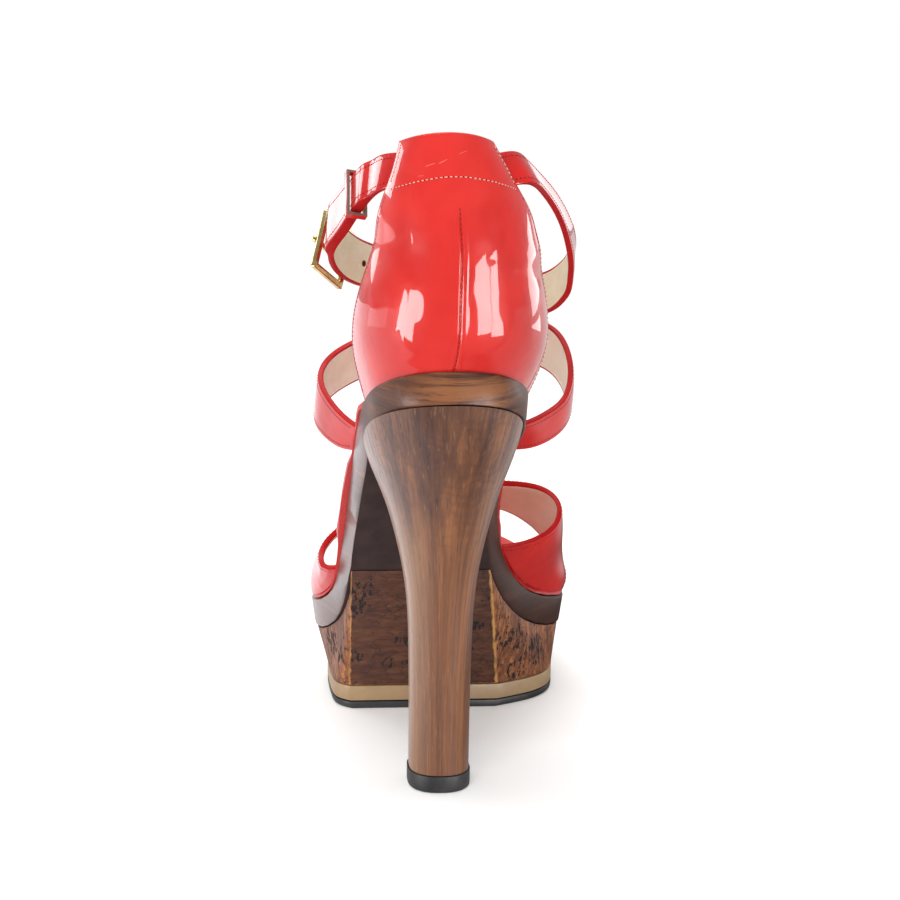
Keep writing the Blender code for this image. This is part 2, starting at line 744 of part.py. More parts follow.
def build_buckle(path):
    """Rectangular buckle frame over the strap, and its prong."""
    middle, along, across, out = ankle_frame(path, BUCKLE_STATION)
    tilt = np.radians(BUCKLE_TILT_DEG)
    along, out = along * np.cos(tilt) + out * np.sin(tilt), out * np.cos(tilt) - along * np.sin(tilt)
    frame = (middle, along, across, out)
    base = STRAP_WALL / 2 + GAP + BUCKLE_LIFT
    bar = BUCKLE_BAR
    rings = []
    for sx, sy in ((-1, -1), (1, -1), (1, 1), (-1, 1)):
        far_x, far_y = sx * BUCKLE_LENGTH / 2, sy * BUCKLE_HEIGHT / 2
        along = np.array([far_x, far_x, far_x - sx * bar, far_x - sx * bar])
        across = np.array([far_y, far_y, far_y - sy * bar, far_y - sy * bar])
        out = np.array([base, base + bar, base + bar, base])
        rings.append(placed(frame, along, across, out))
    ring_solid("buckle_frame", rings)
    half, wide, low = PRONG_LENGTH / 2, PRONG_WIDTH / 2, base + bar + GAP
    rings = []
    for along in (-half, half):
        across = np.array([-wide, wide, wide, -wide])
        out = np.array([low, low, low + PRONG_WIDTH, low + PRONG_WIDTH])
        rings.append(placed(frame, np.full(4, along), across, out))
    loft("buckle_prong", rings)


def foot_line(side, y_span, samples):
    """Foot of a strap along the board's edge, from its rear corner to its front corner."""
    edge = board_outline(FEET_INSET)
    y = stations(*y_span, samples, 0.0)
    x = edges_at(edge, y)[side]
    lift = np.linspace(FOOT_LIFT_REAR, FOOT_LIFT_FRONT, samples)
    return bed_point(x, y, -GAP - lift)


def build_band(name, rear_rows, front_rows, outer_span, inner_span, crown):
    """Strap over the foot: a wall stretched between its two edges and its two feet on the board."""
    outer_foot = foot_line(0, outer_span, STRAP_ROWS)
    inner_foot = foot_line(1, inner_span, STRAP_ROWS)
    rear = smooth_path(np.vstack((outer_foot[:1], rear_rows, inner_foot[:1])), STRAP_STATIONS)
    front = smooth_path(np.vstack((outer_foot[-1:], front_rows, inner_foot[-1:])), STRAP_STATIONS)
    u = np.linspace(0.0, 1.0, STRAP_STATIONS)[:, None, None]
    v = np.linspace(0.0, 1.0, STRAP_ROWS)[None, :, None]
    ruled = rear[:, None] * (1 - v) + front[:, None] * v
    near_outer = np.clip(1.0 - u / FOOT_REACH, 0.0, 1.0) ** 2
    near_inner = np.clip(1.0 - (1.0 - u) / FOOT_REACH, 0.0, 1.0) ** 2
    grid = ruled + near_outer * (outer_foot - ruled[0]) + near_inner * (inner_foot - ruled[-1])
    normal = sheet_normals(grid)
    if normal[STRAP_STATIONS // 2, STRAP_ROWS // 2, 2] < 0:
        normal = -normal
    swell = np.interp(u[:, 0, 0], CROWN_PLACES, (0.0, *crown, 0.0))
    grid = grid + normal * swell[:, None, None] * np.sin(np.pi * v)
    half = STRAP_WALL / 2
    sheet(name, grid + normal * half, grid - normal * half)


def main():
    for old in list(bpy.data.objects):
        bpy.data.objects.remove(old, do_unlink=True)
    build_board()
    build_insole()
    build_forefoot()
    build_heel()
    build_counter()
    build_ankle_strap()
    build_band("instep_strap", INSTEP_REAR, INSTEP_FRONT, INSTEP_FEET, INSTEP_FEET, INSTEP_CROWN)
    build_band("toe_strap", TOE_REAR, TOE_FRONT, TOE_FEET_OUTER, TOE_FEET_INNER, TOE_CROWN)


main()
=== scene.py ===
import json
from math import cos, pi, radians, sin, sqrt

import bmesh
import bpy
from mathutils import Matrix, Vector

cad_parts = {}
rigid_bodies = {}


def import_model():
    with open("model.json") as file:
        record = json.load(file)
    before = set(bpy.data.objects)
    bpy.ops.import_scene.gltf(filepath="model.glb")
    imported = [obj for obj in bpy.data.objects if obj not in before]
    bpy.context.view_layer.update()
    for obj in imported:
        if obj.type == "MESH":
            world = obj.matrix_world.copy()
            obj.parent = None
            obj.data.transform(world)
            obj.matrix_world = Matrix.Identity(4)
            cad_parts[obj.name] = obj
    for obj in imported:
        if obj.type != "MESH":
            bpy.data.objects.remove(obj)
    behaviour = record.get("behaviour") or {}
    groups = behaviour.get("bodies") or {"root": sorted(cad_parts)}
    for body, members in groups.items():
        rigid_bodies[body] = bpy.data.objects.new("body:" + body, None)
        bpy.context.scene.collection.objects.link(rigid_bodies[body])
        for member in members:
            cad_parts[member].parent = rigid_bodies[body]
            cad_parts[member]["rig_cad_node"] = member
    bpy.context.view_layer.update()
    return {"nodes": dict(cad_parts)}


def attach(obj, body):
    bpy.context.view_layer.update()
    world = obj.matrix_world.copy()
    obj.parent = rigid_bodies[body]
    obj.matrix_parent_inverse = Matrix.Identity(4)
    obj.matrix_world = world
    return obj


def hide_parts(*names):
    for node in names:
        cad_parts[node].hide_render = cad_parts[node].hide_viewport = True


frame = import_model()
nodes = frame["nodes"]
mm = 0.001
print("loaded", len(nodes), "nodes of the sandal")


def srgb(red, green, blue):
    # screen values 0 to 255 as a linear colour
    def lift(value):
        value = value / 255
        return value / 12.92 if value <= 0.04045 else ((value + 0.055) / 1.055) ** 2.4
    return (lift(red), lift(green), lift(blue), 1.0)


class Wire:
    # one output socket, so that shader maths reads as plain sums
    def __init__(self, finish, socket):
        self.finish = finish
        self.socket = socket

    def maths(self, operation, left, right=0.0):
        return self.finish.add("ShaderNodeMath", {"operation": operation}, {0: left, 1: right})

    def __add__(self, other):
        return self.maths("ADD", self, other)

    def __radd__(self, other):
        return self.maths("ADD", other, self)

    def __sub__(self, other):
        return self.maths("SUBTRACT", self, other)

    def __rsub__(self, other):
        return self.maths("SUBTRACT", other, self)

    def __mul__(self, other):
        return self.maths("MULTIPLY", self, other)

    def __rmul__(self, other):
        return self.maths("MULTIPLY", other, self)

    def __truediv__(self, other):
        return self.maths("DIVIDE", self, other)

    def __pow__(self, other):
        return self.maths("POWER", self, other)

    def __abs__(self):
        return self.maths("ABSOLUTE", self)

    def step(self, low, high):
        # 0 below low, 1 above high, soft between
        return self.finish.add(
            "ShaderNodeMapRange",
            {"interpolation_type": "SMOOTHSTEP"},
            {"Value": self, "From Min": low, "From Max": high},
        )


class Finish:
    # one material round its Principled shader
    def __init__(self, name, **constants):
        self.material = bpy.data.materials.new(name)
        self.material.use_nodes = True
        self.tree = self.material.node_tree
        self.shader = self.tree.nodes["Principled BSDF"]
        for label, value in constants.items():
            self.shader.inputs[label.replace("_", " ")].default_value = value

    def add(self, kind, settings=None, inputs=None, output=0):
        node = self.tree.nodes.new(kind)
        for label, value in (settings or {}).items():
            if label == "stops":
                ramp = node.color_ramp
                while len(ramp.elements) < len(value):
                    ramp.elements.new(0.5)
                for stop, (place, colour) in zip(ramp.elements, value):
                    stop.position = place
                    stop.color = colour
            else:
                setattr(node, label, value)
        for label, value in (inputs or {}).items():
            if isinstance(value, Wire):
                self.tree.links.new(value.socket, node.inputs[label])
            else:
                node.inputs[label].default_value = value
        return Wire(self, node.outputs[output])

    def feed(self, label, wire):
        self.tree.links.new(wire.socket, self.shader.inputs[label])

    def place(self, stretch=(1.0, 1.0, 1.0)):
        # object coordinates, squeezed along each axis
        here = self.add("ShaderNodeTexCoord", output="Object")
        return self.add("ShaderNodeMapping", {}, {"Vector": here, "Scale": stretch})

    def axes(self):
        here = self.add("ShaderNodeTexCoord", output="Object")
        return [self.add("ShaderNodeSeparateXYZ", {}, {"Vector": here}, name) for name in "XYZ"]

    def noise(self, size, stretch=(1.0, 1.0, 1.0), detail=3.0, rough=0.55, twist=0.0, at=None):
        # grains of about the given size in metres
        return self.add(
            "ShaderNodeTexNoise",
            {},
            {"Vector": at or self.place(stretch), "Scale": 1.0 / size, "Detail": detail, "Roughness": rough,
             "Distortion": twist},
        )

    def cells(self, size, stretch=(1.0, 1.0, 1.0)):
        # distance to the edge of cells of about the given size
        return self.add(
            "ShaderNodeTexVoronoi",
            {"feature": "DISTANCE_TO_EDGE"},
            {"Vector": self.place(stretch), "Scale": 1.0 / size},
            "Distance",
        )

    def ramp(self, wire, stops):
        return self.add("ShaderNodeValToRGB", {"stops": stops}, {"Fac": wire})

    def mix(self, share, first, second):
        return self.add("ShaderNodeMix", {"data_type": "RGBA"}, {0: share, 6: first, 7: second}, 2)

    def vectors(self, operation, first, second, output="Vector"):
        return self.add("ShaderNodeVectorMath", {"operation": operation}, {0: first, 1: second}, output)

    def bump(self, height, depth, strength=1.0):
        # depth in metres
        normal = self.add("ShaderNodeBump", {}, {"Height": height, "Distance": depth, "Strength": strength})
        self.feed("Normal", normal)

    def clouded(self, size, light, dark, stretch=(1.0, 1.0, 1.0)):
        # two tones in soft clouds
        cloud = self.noise(size, stretch, detail=4.0)
        self.feed("Base Color", self.mix(cloud.step(0.3, 0.7), light, dark))
        return cloud


class Room(Finish):
    # the world round the shoe, made with the same nodes
    def __init__(self, name):
        self.world = bpy.data.worlds.new(name)
        self.world.use_nodes = True
        self.tree = self.world.node_tree
        self.shader = self.tree.nodes["World Output"]


# finishes

patentTones = {
    "back": (srgb(229, 50, 43), srgb(213, 38, 32)),
    "straps": (srgb(218, 35, 29), srgb(200, 26, 22)),
    "scratch": srgb(240, 128, 116),
}
# strokes on the tab, seen from behind: start and end as x, z in mm, half width in mm
tabScratches = [
    ((-8.4, 202.6), (-5.2, 203.9), 0.16),
    ((-4.6, 203.6), (-1.6, 205.2), 0.18),
    ((1.6, 206.6), (4.4, 207.6), 0.10),
    ((-10.5, 199.6), (-8.6, 200.0), 0.12),
    ((6.2, 199.0), (7.8, 199.3), 0.14),
]


def strokeMask(finish, start, end, width):
    # 1 along the stroke, 0 away from it
    x, y, z = finish.axes()
    middleX, middleZ = (start[0] + end[0]) / 2 * mm, (start[1] + end[1]) / 2 * mm
    runX, runZ = end[0] - start[0], end[1] - start[1]
    length = sqrt(runX**2 + runZ**2)
    runX, runZ = runX / length, runZ / length
    along = (x - middleX) * runX + (z - middleZ) * runZ
    aside = (x - middleX) * runZ - (z - middleZ) * runX
    near = 1 - abs(along).step(length * 0.3 * mm, length * 0.5 * mm)
    return near * (1 - abs(aside).step(width * 0.3 * mm, width * mm))


def patentRed(name, tones, strokes=()):
    finish = Finish(name, Roughness=0.34, Coat_Weight=1.0, Coat_Roughness=0.02, Coat_IOR=1.40,
                    Specular_IOR_Level=0.12)
    cloud = finish.noise(26 * mm, detail=2.0)
    tone = finish.mix(cloud.step(0.35, 0.65), *patentTones[tones])
    for start, end, width in strokes:
        tone = finish.mix(strokeMask(finish, start, end, width) * 0.7, tone, patentTones["scratch"])
    finish.feed("Base Color", tone)
    swell = finish.noise(12 * mm, detail=1.0, twist=0.6)
    dent = finish.noise(5 * mm, detail=1.0)
    peel = finish.noise(1.6 * mm, detail=2.0)
    finish.feed("Roughness", finish.noise(6 * mm, detail=4.0).step(0.45, 0.8) * 0.12 + 0.3)
    finish.bump(swell + dent * 0.16 + peel * 0.012, 1.1 * mm, 0.45)
    return finish.material


def edgeRed():
    finish = Finish("turnedEdge", Roughness=0.5, Coat_Weight=0.25, Coat_Roughness=0.15, Coat_IOR=1.3,
                    Specular_IOR_Level=0.08)
    tone = finish.noise(4 * mm, detail=3.0)
    finish.feed("Base Color", finish.mix(tone, srgb(158, 14, 18), srgb(192, 24, 24)))
    finish.bump(finish.noise(0.9 * mm, detail=2.0), 0.12 * mm, 0.5)
    return finish.material


def liningLeather(name, light, dark):
    finish = Finish(name, Roughness=0.58, Coat_Weight=0.05, Coat_Roughness=0.4)
    cloud = finish.noise(9 * mm, detail=4.0)
    streak = finish.noise(2.2 * mm, (1.0, 1.0, 0.25), detail=3.0)
    base = finish.mix(cloud.step(0.3, 0.7), light, dark)
    finish.feed("Base Color", finish.mix(streak.step(0.55, 0.75) * 0.35, base, dark))
    grain = finish.cells(0.55 * mm)
    finish.bump(grain.step(0.0, 0.25) + finish.noise(3 * mm) * 0.6, 0.16 * mm, 0.6)
    return finish.material


heelTones = {
    "dark": srgb(70, 41, 34),
    "mid": srgb(114, 70, 46),
    "gold": srgb(162, 103, 60),
    "pore": srgb(50, 31, 25),
    # fleck is also the colour of the painted sheen on the heel's outer flank
    "fleck": srgb(190, 138, 90),
}


def heelTimber():
    finish = Finish("heelTimber", Roughness=0.42, Coat_Weight=0.42, Coat_Roughness=0.2,
                    Specular_IOR_Level=0.4)
    x, y, z = finish.axes()
    # fibres that spread with the flare of the heel
    flare = z.step(40 * mm, 150 * mm) * 1.9 + 1
    spread = {"X": x / flare, "Y": (y + 4 * mm) / flare}
    fibre = finish.add("ShaderNodeCombineXYZ", {}, {**spread, "Z": z * 0.012})
    dash = finish.add("ShaderNodeCombineXYZ", {}, {**spread, "Z": z * 0.05})
    band = finish.noise(4.5 * mm, detail=4.0, rough=0.6, at=fibre)
    thread = finish.noise(0.8 * mm, detail=4.0, rough=0.65, at=fibre)
    tone = finish.ramp(
        band * 0.5 + thread * 0.5,
        [(0.37, heelTones["dark"]), (0.50, heelTones["mid"]), (0.64, heelTones["gold"])],
    )
    heart = (1 - abs(x - 1.5 * mm).step(1 * mm, 13 * mm)) * (1 - z.step(85 * mm, 120 * mm) * 0.6)
    tone = finish.mix(heart * 0.3, tone, heelTones["gold"])
    # painted sheen: the lower outer flank is lightened towards the fleck colour
    sheenFlank = (1 - x.step(-10 * mm, -3 * mm)) * (1 - z.step(75 * mm, 105 * mm))
    tone = finish.mix(sheenFlank * 0.42, tone, heelTones["fleck"])
    shadow = z.step(80 * mm, 112 * mm) * (1 - abs(x + 2 * mm).step(4 * mm, 22 * mm))
    tone = finish.mix(shadow * 0.42, tone, heelTones["dark"])
    pore = finish.noise(0.36 * mm, detail=2.0, at=dash)
    tone = finish.mix(pore.step(0.58, 0.72) * 0.35, tone, heelTones["pore"])
    fleck = finish.noise(0.3 * mm, detail=1.0, at=dash)
    tone = finish.mix(fleck.step(0.60, 0.76) * 0.22, tone, heelTones["fleck"])
    ripple = finish.add(
        "ShaderNodeTexWave",
        {"bands_direction": "Z", "wave_profile": "SIN"},
        {"Vector": finish.place(), "Scale": 95.0, "Distortion": 9.0, "Detail": 2.0, "Detail Scale": 1.4},
    )
    zone = z.step(70 * mm, 100 * mm) * finish.noise(12 * mm, (1.0, 1.0, 0.6)).step(0.42, 0.60)
    tone = finish.mix(zone * ripple.step(0.55, 0.95) * 0.22, tone, heelTones["dark"])
    finish.feed("Base Color", tone)
    finish.feed("Roughness", pore.step(0.58, 0.70) * 0.2 + 0.36)
    finish.bump(thread * 0.5 - pore.step(0.58, 0.70) * 0.6, 0.10 * mm, 0.5)
    return finish.material


boardTones = {
    "dark": srgb(64, 39, 32),
    "mid": srgb(102, 64, 47),
    "gold": srgb(160, 102, 62),
    # painted shade for the inner side of the waist
    "medialShade": srgb(54, 30, 24),
}


def boardTimber():
    finish = Finish("boardTimber", Roughness=0.45, Coat_Roughness=0.24, Coat_IOR=1.7, Specular_IOR_Level=0.2)
    x, y, z = finish.axes()
    layer = finish.noise(1.9 * mm, (0.05, 0.05, 1.0), detail=4.0, rough=0.65)
    cloud = finish.noise(14 * mm, (0.5, 0.5, 1.0), detail=3.0)
    tone = finish.ramp(
        layer * 0.55 + cloud * 0.45,
        [(0.34, boardTones["dark"]), (0.54, boardTones["mid"]), (0.76, boardTones["gold"])],
    )
    back = (1 - y.step(-26 * mm, -8 * mm)) * (1 - abs(x - 5 * mm).step(8 * mm, 22 * mm))
    tone = finish.mix(back * layer.step(0.36, 0.60) * 0.75, tone, boardTones["gold"])
    pore = finish.noise(0.6 * mm, (0.12, 0.12, 1.0), detail=2.0)
    tone = finish.mix(pore.step(0.60, 0.70) * 0.6, tone, boardTones["dark"])
    # painted shade: the inner side of the waist is darkened
    medialShadeMask = y.step(20 * mm, 55 * mm) * x.step(8 * mm, 24 * mm)
    tone = finish.mix(medialShadeMask * 0.7, tone, boardTones["medialShade"])
    finish.feed("Base Color", tone)
    finish.feed("Coat Weight", y.step(4 * mm, 26 * mm) * (1 - x.step(-15 * mm, 5 * mm)) * 0.85 + 0.08)
    finish.feed("Roughness", layer * 0.16 + 0.38)
    finish.bump(layer * 0.5 - pore.step(0.60, 0.70) * 0.4, 0.08 * mm, 0.5)
    return finish.material


def boardUnder():
    # the underside of the waist, painted near-black as painted shade
    finish = Finish("boardUnder", Roughness=0.7, Specular_IOR_Level=0.15)
    finish.clouded(7 * mm, srgb(50, 37, 37), srgb(62, 47, 45), (1.0, 0.4, 1.0))
    finish.bump(finish.noise(0.8 * mm, (1.0, 0.3, 1.0), detail=3.0), 0.06 * mm, 0.4)
    return finish.material


corkTones = {
    "dark": srgb(68, 36, 25),
    "mid": srgb(138, 80, 46),
    "light": srgb(202, 130, 74),
    "pit": srgb(24, 17, 19),
    "worn": srgb(208, 150, 80),
}
# where the dark flecks gather: x, y, z, reach in mm
corkFlecks = {
    "sides": [(27, 69, 26, 6), (33, 74, 26, 8), (40, 83, 18, 11), (33, 76, 13, 6), (-31, 84, 22, 8),
              (-28.5, 76, 20, 5), (48, 105, 25, 12), (-35, 115, 25, 12)],
    "rear": [(-22.5, 58.5, 48, 6.5), (-23, 61.5, 41, 5), (-8, 67, 28, 4.5), (-23, 70, 20, 4.5),
             (19, 65, 33, 3.5), (-12, 71, 18, 4), (24, 63, 40, 4)],
}


def corkSkin(name, corners, shade, flecks, stretch):
    # shade darkens the whole, corners are (start, end) lines where the stain has worn off
    finish = Finish(name, Roughness=0.55, Coat_Weight=0.06, Coat_Roughness=0.28, Specular_IOR_Level=0.3)
    here = finish.add("ShaderNodeTexCoord", output="Object")
    grain = finish.noise(1.5 * mm, stretch, detail=6.0, rough=0.7)
    cloud = finish.noise(8 * mm, (1.0, 1.0, 0.8), detail=3.0)
    tone = finish.ramp(
        grain * 0.7 + cloud * 0.3,
        [(0.36, corkTones["dark"]), (0.49, corkTones["mid"]), (0.64, corkTones["light"])],
    )
    tone = finish.mix(shade, tone, corkTones["dark"])
    gather = finish.noise(10 * mm, detail=2.0).step(0.56, 0.70) * 0.6
    for x, y, z, reach in flecks:
        away = finish.vectors("DISTANCE", here, (x * mm, y * mm, z * mm), "Value")
        gather = gather + (1 - away.step(reach * 0.35 * mm, reach * mm))
    fleck = finish.noise(1.3 * mm, (1.0, 1.0, 0.38), detail=4.0, rough=0.62)
    pit = (fleck + gather.step(0.0, 1.0) * 0.13).step(0.635, 0.675)
    streak = finish.noise(0.7 * mm, stretch, detail=2.0).step(0.57, 0.66)
    tone = finish.mix(streak * (0.6 - shade * 0.5), tone, corkTones["dark"])
    brick = finish.cells(2.8 * mm, (0.5, 0.5, 1.0))
    crack = (1 - brick.step(0.01, 0.09)) * finish.noise(5 * mm, detail=2.0).step(0.40, 0.56)
    tone = finish.mix(crack * 0.5, tone, corkTones["pit"])
    tone = finish.mix(pit * 0.95, tone, corkTones["pit"])
    ragged = finish.noise(2.0 * mm, (1.0, 1.0, 0.5), detail=4.0) * (1.8 * mm)
    patchy = finish.noise(3.5 * mm, detail=3.0).step(0.36, 0.52)
    for start, end in corners:
        along = (Vector(end) - Vector(start)).normalized()
        offset = finish.vectors("SUBTRACT", here, tuple(start))
        aside = finish.vectors("CROSS_PRODUCT", offset, tuple(along))
        away = finish.vectors("LENGTH", aside, (0, 0, 0), "Value")
        worn = (1 - (away + ragged).step(1.05 * mm, 1.7 * mm)) * (patchy * 0.5 + 0.5)
        tone = finish.mix(worn * 0.9, tone, corkTones["worn"])
    finish.feed("Base Color", tone)
    finish.feed("Roughness", pit * 0.25 + 0.5)
    finish.bump(grain * 0.4 - pit * 1.0 - streak * 0.25, 0.35 * mm, 0.7)
    return finish.material


def tanLayer():
    finish = Finish("tanLayer", Roughness=0.5, Coat_Weight=0.1, Coat_Roughness=0.3)
    finish.clouded(12 * mm, srgb(184, 153, 114), srgb(170, 138, 98))
    finish.bump(finish.noise(0.7 * mm, (1.0, 1.0, 3.0), detail=2.0), 0.06 * mm, 0.5)
    return finish.material


def blackRubber():
    finish = Finish("blackRubber", Roughness=0.5)
    cloud = finish.clouded(5 * mm, srgb(32, 31, 31), srgb(50, 47, 46))
    finish.feed("Roughness", cloud * 0.2 + 0.42)
    finish.bump(finish.noise(0.5 * mm, detail=3.0), 0.07 * mm, 0.5)
    return finish.material


def paleBrass():
    finish = Finish("paleBrass", Metallic=1.0, Roughness=0.22)
    finish.clouded(4 * mm, srgb(226, 204, 150), srgb(196, 168, 112))
    finish.feed("Roughness", finish.noise(0.8 * mm, (1.0, 1.0, 0.2)) * 0.18 + 0.14)
    finish.bump(finish.noise(0.5 * mm, detail=2.0), 0.02 * mm, 0.4)
    return finish.material


def insoleLeather():
    finish = Finish("insoleLeather", Roughness=0.42, Coat_Weight=0.2, Coat_Roughness=0.25)
    finish.clouded(16 * mm, srgb(214, 41, 37), srgb(203, 35, 33))
    finish.bump(finish.cells(0.7 * mm).step(0.0, 0.22), 0.10 * mm, 0.5)
    return finish.material


def sewingThread(name, light, dark):
    finish = Finish(name, Roughness=0.7, Specular_IOR_Level=0.15)
    twist = finish.add(
        "ShaderNodeTexWave",
        {"bands_direction": "DIAGONAL"},
        {"Vector": finish.place(), "Scale": 1400.0, "Distortion": 1.0},
    )
    finish.feed("Base Color", finish.mix(twist, light, dark))
    finish.bump(twist, 0.01 * mm, 0.4)
    return finish.material


def cutEdge():
    # raw grey-brown edge of the keeper's leather
    finish = Finish("cutEdge", Roughness=0.6)
    tone = finish.noise(0.9 * mm, detail=4.0)
    finish.feed("Base Color", finish.mix(tone, srgb(92, 72, 68), srgb(132, 110, 102)))
    finish.bump(tone, 0.1 * mm, 0.6)
    return finish.material


# painted shade: the dark inside of a hole that is not cut
def holeShade(name, light, dark):
    finish = Finish(name, Roughness=0.8, Specular_IOR_Level=0.1)
    tone = finish.noise(0.4 * mm, detail=2.0)
    finish.feed("Base Color", finish.mix(tone, dark, light))
    return finish.material


redPatent = patentRed("redPatent", "straps")
backPatent = patentRed("backPatent", "back", tabScratches)
turnedEdge = edgeRed()
paleLining = liningLeather("paleLining", srgb(238, 230, 203), srgb(229, 218, 187))
# painted light: the toe strap's lining is tinted green to cancel the red light bounced from the insole, and
# the instep strap's lining is a lighter copy
warmLining = liningLeather("warmLining", srgb(250, 255, 236), srgb(240, 246, 220))
brightLining = liningLeather("brightLining", srgb(250, 250, 232), srgb(242, 240, 216))
redThread = sewingThread("redThread", srgb(252, 204, 186), srgb(236, 150, 134))
strapThread = sewingThread("strapThread", srgb(214, 66, 60), srgb(168, 30, 32))
needleHole = holeShade("needleHole", srgb(112, 12, 16), srgb(70, 6, 10))
strapHole = holeShade("strapHole", srgb(58, 42, 34), srgb(34, 24, 20))
print("finishes mixed")


# working tools

def deselectAll():
    if bpy.context.mode != "OBJECT":
        bpy.ops.object.mode_set(mode="OBJECT")
    bpy.ops.object.select_all(action="DESELECT")


def selectOnly(piece):
    deselectAll()
    piece.select_set(True)
    bpy.context.view_layer.objects.active = piece


def editPiece(piece, kind="FACE"):
    selectOnly(piece)
    bpy.ops.object.mode_set(mode="EDIT")
    bpy.ops.mesh.select_mode(type=kind)
    bpy.ops.mesh.select_all(action="DESELECT")


def pick(piece, wanted, kind="faces"):
    # selects what the test wants, in edit mode
    shape = bmesh.from_edit_mesh(piece.data)
    for part in getattr(shape, kind):
        part.select_set(bool(wanted(part)))
    shape.select_flush_mode()
    bmesh.update_edit_mesh(piece.data)


# how a node's triangles are cleaned: corners this close are one, angles in degrees
meshFacts = {"weld": 0.01 * mm, "sharp": 44, "flat": 50, "square": 70}


def copyNode(nodeName, pieceName):
    # the node's loose triangles as a clean mesh of quads
    selectOnly(nodes[nodeName])
    bpy.ops.object.duplicate()
    piece = bpy.context.view_layer.objects.active
    piece.name = pieceName
    piece.data.name = pieceName
    del piece["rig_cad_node"]
    piece.data.materials.clear()
    bpy.ops.object.mode_set(mode="EDIT")
    bpy.ops.mesh.select_all(action="SELECT")
    bpy.ops.mesh.customdata_custom_splitnormals_clear()
    bpy.ops.mesh.remove_doubles(threshold=meshFacts["weld"])
    bpy.ops.mesh.select_mode(type="EDGE")
    bpy.ops.mesh.select_all(action="SELECT")
    bpy.ops.mesh.mark_sharp(clear=True)
    bpy.ops.mesh.select_all(action="DESELECT")
    bpy.ops.mesh.edges_select_sharp(sharpness=radians(meshFacts["sharp"]))
    bpy.ops.mesh.mark_sharp()
    bpy.ops.mesh.select_mode(type="FACE")
    bpy.ops.mesh.select_all(action="SELECT")
    flat, square = radians(meshFacts["flat"]), radians(meshFacts["square"])
    bpy.ops.mesh.tris_convert_to_quads(face_threshold=flat, shape_threshold=square, sharp=True)
    bpy.ops.object.mode_set(mode="OBJECT")
    return piece


def useFinishes(piece, *finishes):
    piece.data.materials.clear()
    for finish in finishes:
        piece.data.materials.append(finish)


def paintSelected(piece, slot):
    piece.active_material_index = slot
    bpy.ops.object.material_slot_assign()


def applyModifier(piece, kind, **settings):
    selectOnly(piece)
    added = piece.modifiers.new(kind.lower(), kind)
    for label, value in settings.items():
        setattr(added, label, value)
    bpy.ops.object.modifier_apply(modifier=added.name)


def smoothOver(piece, levels):
    applyModifier(piece, "SUBSURF", levels=levels, render_levels=levels)


def shade(piece, angle=None):
    selectOnly(piece)
    if angle is None:
        bpy.ops.object.shade_smooth()
    else:
        bpy.ops.object.shade_smooth_by_angle(angle=radians(angle))


def moveCorners(piece, move):
    # shifts each corner of the mesh in edit mode by what move gives for it
    shape = bmesh.from_edit_mesh(piece.data)
    shape.normal_update()
    shifts = [(corner, move(corner)) for corner in shape.verts]
    for corner, shift in shifts:
        if shift is not None:
            corner.co += shift
    bmesh.update_edit_mesh(piece.data)


def between(table, place):
    # the values of a table at a place, straight between its rows and level past its ends
    for (start, *first), (end, *last) in zip(table, table[1:]):
        if place <= end:
            share = max(0.0, (place - start) / (end - start))
            return [low + (high - low) * share for low, high in zip(first, last)]
    return table[-1][1:]


def rise(value, low, high):
    # 0 below low, 1 above high, straight between
    return min(1.0, max(0.0, (value - low) / (high - low)))


def hump(value, middle, reach):
    # 1 at the middle, 0 past the reach
    return max(0.0, 1 - ((value - middle) / reach) ** 2)


def settle(piece, slot, *stoodFor):
    # the piece rides with the shoe and stands for its nodes
    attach(piece, "root")
    if stoodFor:
        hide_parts(*stoodFor)


def tubeFaces(first, rings, sides):
    # the quads of a tube whose rings of corners start at first
    faces = []
    for ring in range(rings - 1):
        low = first + ring * sides
        for side in range(sides):
            after = (side + 1) % sides
            faces.append((low + side, low + after, low + sides + after, low + sides + side))
    return faces


def loosePiece(pieceName, slot, vertices, faces, painted, *finishes):
    # a joined mesh of many small forms, with a finish's number for each face
    mesh = bpy.data.meshes.new(pieceName)
    mesh.from_pydata(vertices, [], faces)
    mesh.shade_smooth()
    piece = bpy.data.objects.new(pieceName, mesh)
    bpy.context.scene.collection.objects.link(piece)
    useFinishes(piece, *finishes)
    mesh.polygons.foreach_set("material_index", painted)
    settle(piece, slot)


def linkedFrom(piece, score):
    # the whole smooth side that holds the face of the highest score
    bpy.ops.mesh.select_mode(type="FACE")
    bpy.ops.mesh.select_all(action="DESELECT")
    shape = bmesh.from_edit_mesh(piece.data)
    best = max(shape.faces, key=score)
    best.select_set(True)
    bmesh.update_edit_mesh(piece.data)
    bpy.ops.mesh.select_linked(delimit={"SHARP"})


def roundSharp(piece, width, segments):
    # rounds every edge that is marked sharp
    bpy.ops.mesh.select_mode(type="EDGE")
    pick(piece, lambda edge: not edge.smooth, "edges")
    bpy.ops.mesh.bevel(offset=width, segments=segments, profile=0.5, affect="EDGES", clamp_overlap=True)
    bpy.ops.mesh.select_all(action="SELECT")
    bpy.ops.mesh.mark_sharp(clear=True)
    bpy.ops.mesh.select_all(action="DESELECT")


# stitches

stitch = {
    "pitch": 1.5 * mm,
    "length": 1.05 * mm,
    "radius": 0.17 * mm,
    "dip": 0.10 * mm,
    "hole": 0.2 * mm,
    "holeLift": 0.03 * mm,
    "sunk": -0.07 * mm,  # thread pulled into the leather
    "raised": 0.08 * mm,  # thread out of the seam's groove
    "sides": 6,
    "rings": 5,
}


def evenSteps(points, pitch):
    # points at even steps along a line of points, with the direction there
    out = []
    left = pitch / 2
    for start, end in zip(points, points[1:]):
        span = (end - start).length
        while left <= span and span > 0:
            out.append((start.lerp(end, left / span), (end - start).normalized()))
            left += pitch
        left -= span
    return out


